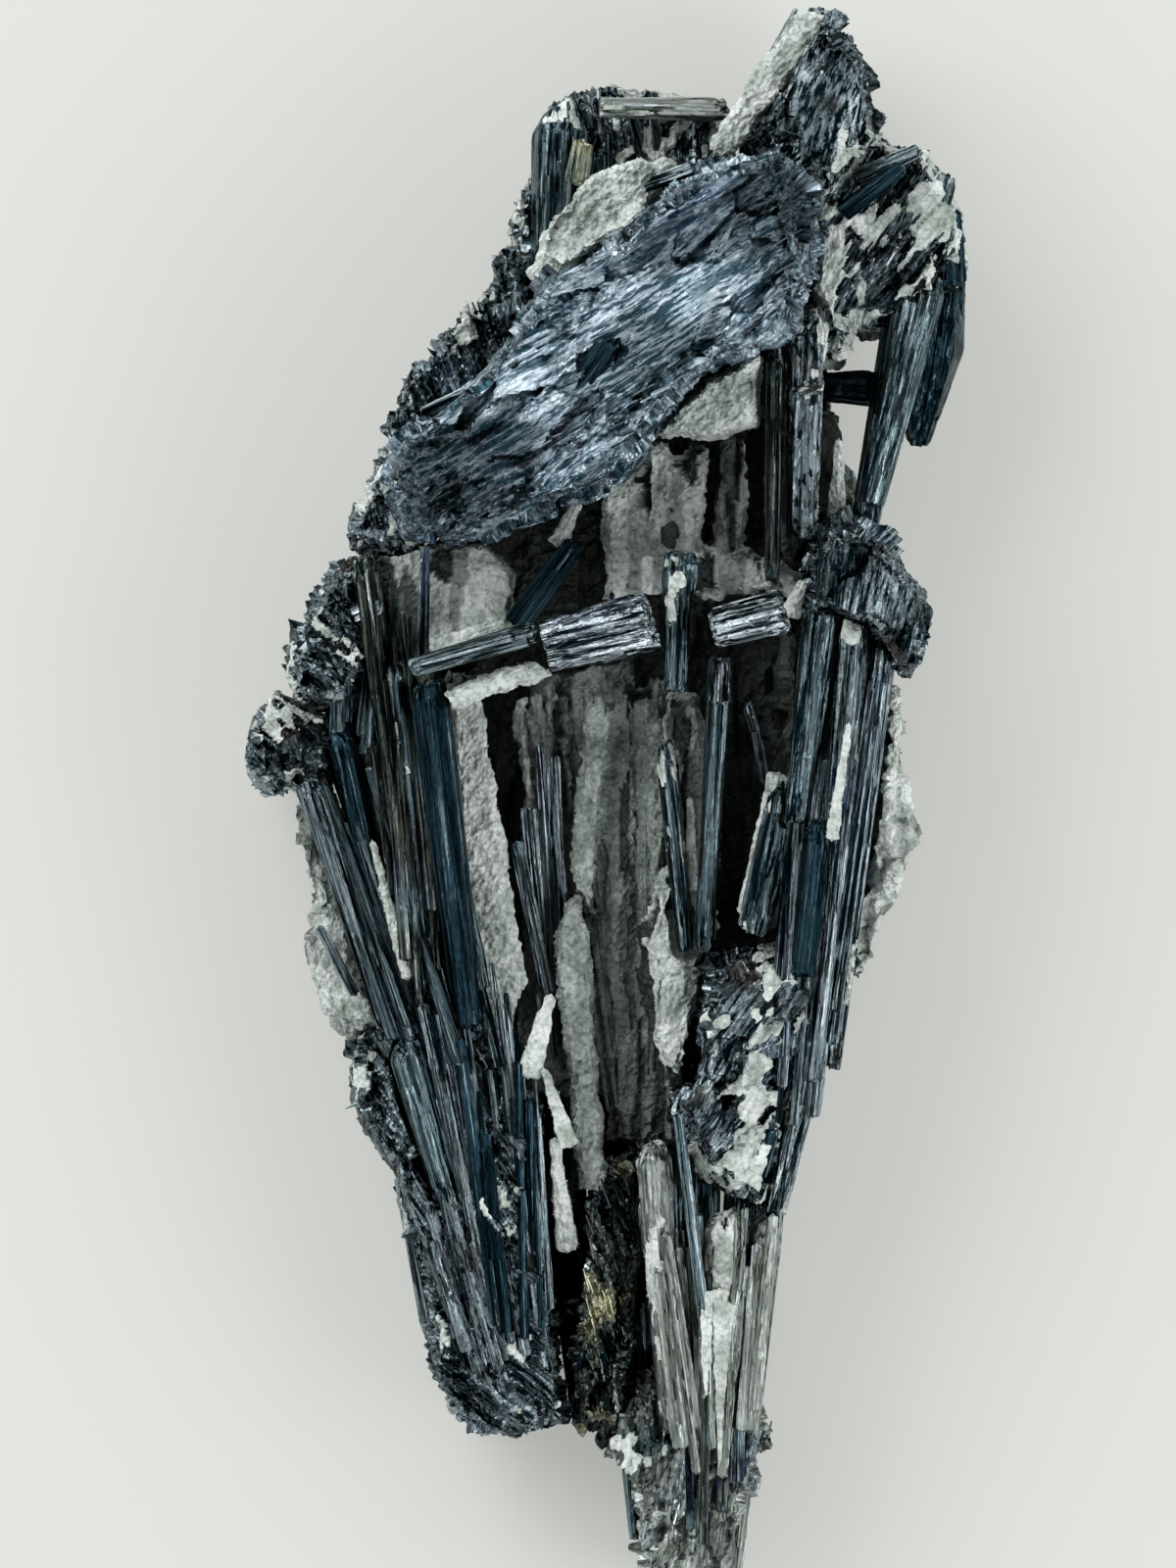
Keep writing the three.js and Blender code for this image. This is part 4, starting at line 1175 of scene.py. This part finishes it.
def minerals(scene):
    """Every mineral, by the record's slot name or by its own."""
    stib, quartz = scene.stibnite, scene.stibnite_quartz
    # Flakes per mm across, through and along the grain; how much they mottle the colour and tilt
    # the surface; roughness; and how bright the thin painted highlight lines are.
    bladed = {"broad": (1.1, 1.1, 0.05), "fine": (2.8, 2.8, 0.16), "flaky": 0.5, "glitter": 0.9}
    bladed.update(gloss=0.14, glint=0.8, groove=stib.black)
    felted = dict(bladed, broad=(0.8, 0.8, 0.3), fine=(2.2, 2.2, 0.9), flaky=0.65, gloss=0.18)
    silky = dict(felted, glitter=0.6, gloss=0.26)
    fibrous = dict(bladed, broad=(1.4, 1.4, 0.12), fine=(2.6, 2.6, 0.5), flaky=0.55, glitter=0.8)
    fibrous.update(gloss=0.3)
    bright = dict(bladed, broad=(0.9, 0.9, 0.06), fine=(2.2, 2.2, 0.3), flaky=0.4, gloss=0.12)
    looks = {
        # Clean crystal faces: long mirror-like streaks of light and dark.
        "stibnite_blade": (
            "Stibnite, striated faces",
            dict(bladed, face=stib.steel, tint=stib.slate, tint_share=0.3),
        ),
        # Faces painted darker as painted shade, nearly black between thin painted highlight lines.
        "stibnite_painted_dark": (
            "Stibnite, striated faces in painted shade",
            dict(bladed, face=stib.slate, tint=stib.blue, tint_share=0.3),
        ),
        # Faces painted bright silver as a painted highlight, the brightest of all.
        "stibnite_painted_bright": (
            "Stibnite, faces with painted highlight",
            dict(bright, face=stib.painted_highlight, tint=stib.black, tint_share=0.3),
        ),
        # Cleavage faces: smoother, blue-black, few streaks.
        "stibnite_deep_blue": (
            "Stibnite, blue-black cleavage",
            dict(bladed, face=stib.blue, tint=stib.slate, tint_share=0.1, glitter=0.4, glint=0.3),
        ),
        # Felted needles: many small faces, with brown tarnish.
        "stibnite_granular": (
            "Stibnite, felted needles",
            dict(felted, face=stib.steel, tint=stib.brown, tint_share=0.35),
        ),
        # The leaning slab: felted needles with a strong blue-grey painted sheen for the light it tilts
        # towards.
        "stibnite_painted_sheen": (
            "Stibnite, parallel needles with painted sheen",
            dict(silky, groove=stib.blue, face=stib.sheen, tint=stib.slate, tint_share=0.3),
        ),
        # Tarnished crystals: olive and golden films over the metal.
        "stibnite_tarnished": (
            "Stibnite, olive tarnish",
            dict(bladed, face=stib.olive, tint=stib.slate, tint_share=0.4),
        ),
        # Weathered crystals of the foot: pale grey with few dark grooves.
        "stibnite_pale": (
            "Stibnite, pale weathered faces",
            dict(fibrous, groove=stib.olive, face=stib.pale, tint=stib.slate, tint_share=0.2),
        ),
        # Weathered needles of the foot: grey-green and duller.
        "stibnite_weathered": (
            "Stibnite, weathered needles",
            dict(felted, groove=stib.olive, face=stib.pale, tint=stib.slate, tint_share=0.3, gloss=0.3),
        ),
        # Dark felted needles with golden sparks.
        "stibnite_gilded_felt": (
            "Stibnite, felted with golden sparks",
            dict(felted, face=stib.olive, tint=stib.gold, tint_share=0.32),
        ),
        # Thin golden tarnish on a few slivers.
        "stibnite_gilded": (
            "Stibnite, golden tarnish",
            dict(bladed, groove=stib.slate, face=stib.gold, tint=stib.gold, tint_share=0.5),
        ),
    }
    crusts = {
        "quartz_druse": ("Quartz druse", quartz.light, quartz.shade),
        # Painted shade: the rods of the hollow take a darker copy of the white quartz.
        "quartz_hollow_shade": ("Grey quartz druse", quartz.grey, quartz.dim),
        # Painted shade: the lining is coloured with the stain and the deep colour.
        "quartz_lining_shade": ("Stained quartz druse", quartz.shade, quartz.deep),
    }
    made = {}
    for slot, (name, look) in looks.items():
        made[slot] = bpy.data.materials.get(name) or stibnite_material(name, stib, quartz, look)
    for slot, (name, light, shade) in crusts.items():
        made[slot] = bpy.data.materials.get(name) or quartz_material(name, quartz, light, shade)
    return made


# ---------------------------------------------------------------- operators


class STIBNITE_OT_stage(bpy.types.Operator):
    """Lays the pale floor, hangs two softboxes and puts the camera over the specimen"""

    bl_idname = "stibnite.stage"
    bl_label = "Stage"

    def execute(self, context):
        scene = context.scene
        settings = scene.stibnite_stage
        floor_mesh = bpy.data.meshes.new("floor")
        reach = 4.0
        drop = -0.1 * MM
        floor_mesh.from_pydata(
            [(-reach, -reach, drop), (reach, -reach, drop), (reach, reach, drop), (-reach, reach, drop)],
            [],
            [(0, 1, 2, 3)],
        )
        floor = bpy.data.objects.new("floor", floor_mesh)
        context.collection.objects.link(floor)
        paper = new_material("Matt paper floor")
        tree = paper.node_tree
        place = add_node(tree, "ShaderNodeTexCoord").outputs["Object"]
        fibre = add_node(tree, "ShaderNodeTexNoise", {"Vector": place, "Scale": 700, "Detail": 3})
        bump = add_node(
            tree, "ShaderNodeBump", {"Height": fibre.outputs[0], "Strength": 0.08, "Distance": 0.1 * MM}
        )
        surface = add_node(
            tree,
            "ShaderNodeBsdfPrincipled",
            {
                "Base Color": (*settings.paper, 1),
                "Roughness": 0.85,
                "Normal": bump.outputs[0],
                "Emission Color": (*settings.glow, 1),
                "Emission Strength": 1.0,
            },
        )
        add_node(tree, "ShaderNodeOutputMaterial", {0: surface.outputs[0]})
        floor_mesh.materials.append(paper)
        floor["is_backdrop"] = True
        self.lights(context, settings)
        self.sky(scene)
        self.camera(context, settings)
        scene.view_settings.view_transform = "Standard"
        scene.view_settings.look = "Medium High Contrast"
        scene.view_settings.exposure = 0.0
        return {"FINISHED"}

    def lights(self, context, settings):
        boxes = (
            ("Key softbox", (-0.6, 0.55, 0.8), 0.8, settings.key_power),
            ("Fill softbox", (0.85, -0.3, 0.75), 0.8, settings.fill_power),
        )
        for name, place, size, power in boxes:
            lamp = bpy.data.lights.new(name, "AREA")
            lamp.energy = power
            lamp.size = size
            holder = bpy.data.objects.new(name, lamp)
            holder.location = place
            holder.rotation_euler = (-Vector(place)).to_track_quat("-Z", "Y").to_euler()
            holder.visible_camera = False
            context.collection.objects.link(holder)

    def sky(self, scene):
        world = bpy.data.worlds.new("Studio")
        scene.world = world
        world.use_nodes = True
        tree = world.node_tree
        tree.nodes.clear()
        heading = add_node(tree, "ShaderNodeTexCoord").outputs["Generated"]
        rise = add_node(tree, "ShaderNodeSeparateXYZ", {0: heading}).outputs[2]
        # Bright round the horizon and nearly black overhead, so that level faces stay dark.
        level = add_node(
            tree,
            "ShaderNodeMapRange",
            {"Value": rise, "From Min": 0.5, "From Max": 0.96, "To Min": 1.25, "To Max": 0.08},
        )
        glow = add_node(
            tree, "ShaderNodeBackground", {"Color": (*srgb("#eef1f3"), 1), "Strength": level.outputs[0]}
        )
        add_node(tree, "ShaderNodeOutputWorld", {0: glow.outputs[0]})

    def camera(self, context, settings):
        lens = bpy.data.cameras.new("Camera")
        lens.sensor_width = 36
        lens.lens = lens.sensor_width * settings.distance / settings.view_height
        lens.clip_end = 10
        holder = bpy.data.objects.new("Camera", lens)
        middle = (CAD_LOW + CAD_HIGH) / 2
        # The summit is just inside the view and the foot just outside it.
        holder.location = (middle[0] - 2.3 * MM, middle[1] + 3.5 * MM, middle[2] + settings.distance)
        context.collection.objects.link(holder)
        context.scene.camera = holder


class STIBNITE_OT_blades(bpy.types.Operator):
    """Turns the single crystals into striated blades"""

    bl_idname = "stibnite.blades"
    bl_label = "Striated blades"

    def execute(self, context):
        settings = context.scene.stibnite
        made = minerals(context.scene)
        for index, (node, (lath_mm, depth_mm, share, mineral)) in enumerate(BLADES.items()):
            seed = settings.seed * 100 + index
            grid = solid_grid(node, settings)
            crystal = striated(grid, settings, lath_mm, depth_mm, share, seed)
            mesh = crystal_mesh(node + "_crystal", [crystal])
            mesh.materials.append(made[mineral])
            if share > 0:
                mesh = with_quartz_points(mesh, context.scene, made, seed)
            add_piece(node + "_crystal", mesh, SLOTS.get(mineral, mineral), node)
        return {"FINISHED"}


def with_quartz_points(mesh, scene, made, seed, quartz="quartz_druse", density=1.6e6):
    """The mesh with fine quartz points on its coated parts, where they can be seen."""
    coat = np.empty(len(mesh.vertices))
    mesh.attributes["coat"].data.foreach_get("value", coat)
    store(mesh, "sugar", "FLOAT", coat * (mesh_normals(mesh)[:, 2] > 0.0))
    size = scene.stibnite_quartz.point_size
    return grown(
        mesh, where="sugar", density=density, length=size, width=size * 0.8, tip=0.08,
        follow_grain=0.0, tilt=0.6, sides=4, seed=seed, mineral=made[quartz],
    )


class STIBNITE_OT_masses(bpy.types.Operator):
    """Turns the lumps of fine crystals into felted needles with patches of quartz"""

    bl_idname = "stibnite.masses"
    bl_label = "Felted masses"

    def execute(self, context):
        scene = context.scene
        settings = scene.stibnite
        made = minerals(scene)
        for index, (node, (lean, share, needles, mineral)) in enumerate(MASSES.items()):
            seed = settings.seed * 200 + index
            mesh = mass_mesh(node, settings.mass_step, lean, share, seed)
            mesh.materials.append(made[mineral])
            mesh = grown(
                mesh, where="felt", density=needles / MM**2, length=settings.needle_length,
                width=settings.needle_width, tip=0.4, follow_grain=0.96, tilt=0.12, sides=4,
                seed=seed, mineral=made[mineral],
            )
            if share > 0:
                mesh = with_quartz_points(mesh, scene, made, seed)
            add_piece(node + "_felt", mesh, SLOTS.get(mineral, mineral), node)
        return {"FINISHED"}


class STIBNITE_OT_crusts(bpy.types.Operator):
    """Turns the coated crystals and the lining into sugary quartz"""

    bl_idname = "stibnite.crusts"
    bl_label = "Quartz crusts"

    def execute(self, context):
        scene = context.scene
        settings = scene.stibnite_quartz
        made = minerals(scene)
        for index, (node, (lump_mm, rib_mm, mineral)) in enumerate(CRUSTS.items()):
            seed = settings.seed * 300 + index
            hidden = node == "quartz_lining"
            step = settings.lining_step if hidden else settings.crust_step
            mesh = crust_mesh(node, step, lump_mm, rib_mm, seed)
            mesh.materials.append(made[mineral])
            if not hidden:
                mesh = with_quartz_points(mesh, scene, made, seed, mineral)
            add_piece(node + "_crust", mesh, SLOTS.get(mineral, mineral), node)
        return {"FINISHED"}


# How a small crystal of stibnite or of quartz is finished: how much it narrows to its tip, width of
# its laths and depth of their steps (mm), and the share of it that is coated.
BARE_CRYSTAL = (0.2, 0.5, 0.35, 0.0)
COATED_CRYSTAL = (0.5, 0.5, 0.1, 1.0)


class STIBNITE_OT_small(bpy.types.Operator):
    """Adds the small crystals that stand among the large ones"""

    bl_idname = "stibnite.small"
    bl_label = "Small crystals"

    def execute(self, context):
        scene = context.scene
        settings = scene.stibnite
        made = minerals(scene)
        for index, (name, (node, root, tip, width, mineral)) in enumerate(SMALL.items()):
            seed = settings.seed * 400 + index
            coated = mineral == "quartz_druse"
            narrowing, lath_mm, depth_mm, share = COATED_CRYSTAL if coated else BARE_CRYSTAL
            grid = bar_grid(beside(node, root), beside(node, tip), width, settings, narrowing)
            crystal = striated(grid, settings, lath_mm, depth_mm, share, seed)
            mesh = crystal_mesh(name, [crystal])
            mesh.materials.append(made[mineral])
            if coated:
                mesh = with_quartz_points(mesh, scene, made, seed)
            add_piece(name, mesh, SLOTS.get(mineral, mineral))
        return {"FINISHED"}


# Packed laths: least and greatest width (mm), width and depth of their steps (mm), and how much a
# quartz rib narrows towards the foot.
WIDTHS = {"stibnite_pale": (0.8, 3.0), "quartz_druse": (2, 4), "quartz_hollow_shade": (2, 4)}
COMMON_WIDTHS = (0.8, 2.2)
PACKED_STEPS = (0.5, 0.3)
RIB_NARROWING = 0.7


class STIBNITE_OT_laths(bpy.types.Operator):
    """Packs thin laths into the gaps between the large crystals"""

    bl_idname = "stibnite.laths"
    bl_label = "Packed laths"

    def execute(self, context):
        scene = context.scene
        settings = scene.stibnite
        made = minerals(scene)
        for index, (name, (count, node, root, tip, spread, mineral)) in enumerate(LATHS.items()):
            dice = np.random.default_rng(settings.seed * 500 + index)
            coated = mineral.startswith("quartz")
            widths = WIDTHS.get(mineral, COMMON_WIDTHS)
            crystals = []
            for _ in range(count):
                across = dice.uniform(-1, 1)
                shift = np.array(spread[0]) * across + dice.uniform(-1, 1, 3) * spread[2]
                start = beside(node, np.array(root) + shift)
                shift = np.array(spread[1]) * across + dice.uniform(-1, 1, 3) * spread[2]
                end = beside(node, np.array(tip) + shift)
                begin, stop = sorted(dice.uniform((0, 0.65), (0.3, 1)))
                low, high = start + (end - start) * begin, start + (end - start) * stop
                width = dice.uniform(*widths)
                if coated:
                    grid = bar_grid(high, low, width, settings, RIB_NARROWING)
                else:
                    grid = bar_grid(low, high, width, settings)
                share = 1.0 if coated else 0.0
                crystals.append(striated(grid, settings, *PACKED_STEPS, share, int(dice.integers(9999))))
            mesh = crystal_mesh(name, crystals)
            mesh.materials.append(made[mineral])
            if coated:
                mesh = with_quartz_points(mesh, scene, made, index, mineral)
            add_piece(name, mesh, SLOTS.get(mineral, mineral))
        return {"FINISHED"}


class STIBNITE_PT_panel(bpy.types.Panel):
    """Lists the steps in the 3D view's sidebar"""

    bl_idname = "STIBNITE_PT_panel"
    bl_label = "Stibnite spray"
    bl_space_type = "VIEW_3D"
    bl_region_type = "UI"
    bl_category = "Stibnite"

    def draw(self, context):
        for operator in OPERATORS:
            self.layout.operator(operator.bl_idname)
        for group in (context.scene.stibnite, context.scene.stibnite_quartz, context.scene.stibnite_stage):
            box = self.layout.box()
            for name in group.__annotations__:
                box.prop(group, name)


OPERATORS = (
    STIBNITE_OT_stage,
    STIBNITE_OT_blades,
    STIBNITE_OT_masses,
    STIBNITE_OT_crusts,
    STIBNITE_OT_small,
    STIBNITE_OT_laths,
)
CLASSES = (StibniteSettings, QuartzSettings, StageSettings, *OPERATORS, STIBNITE_PT_panel)


def register():
    for entry in CLASSES:
        bpy.utils.register_class(entry)
    bpy.types.Scene.stibnite = PointerProperty(type=StibniteSettings)
    bpy.types.Scene.stibnite_quartz = PointerProperty(type=QuartzSettings)
    bpy.types.Scene.stibnite_stage = PointerProperty(type=StageSettings)


def unregister():
    del bpy.types.Scene.stibnite
    del bpy.types.Scene.stibnite_quartz
    del bpy.types.Scene.stibnite_stage
    for entry in reversed(CLASSES):
        bpy.utils.unregister_class(entry)


def main():
    register()
    bpy.ops.stibnite.stage()
    bpy.ops.stibnite.blades()
    bpy.ops.stibnite.masses()
    bpy.ops.stibnite.crusts()
    bpy.ops.stibnite.small()
    bpy.ops.stibnite.laths()


if __name__ == "__main__":
    main()
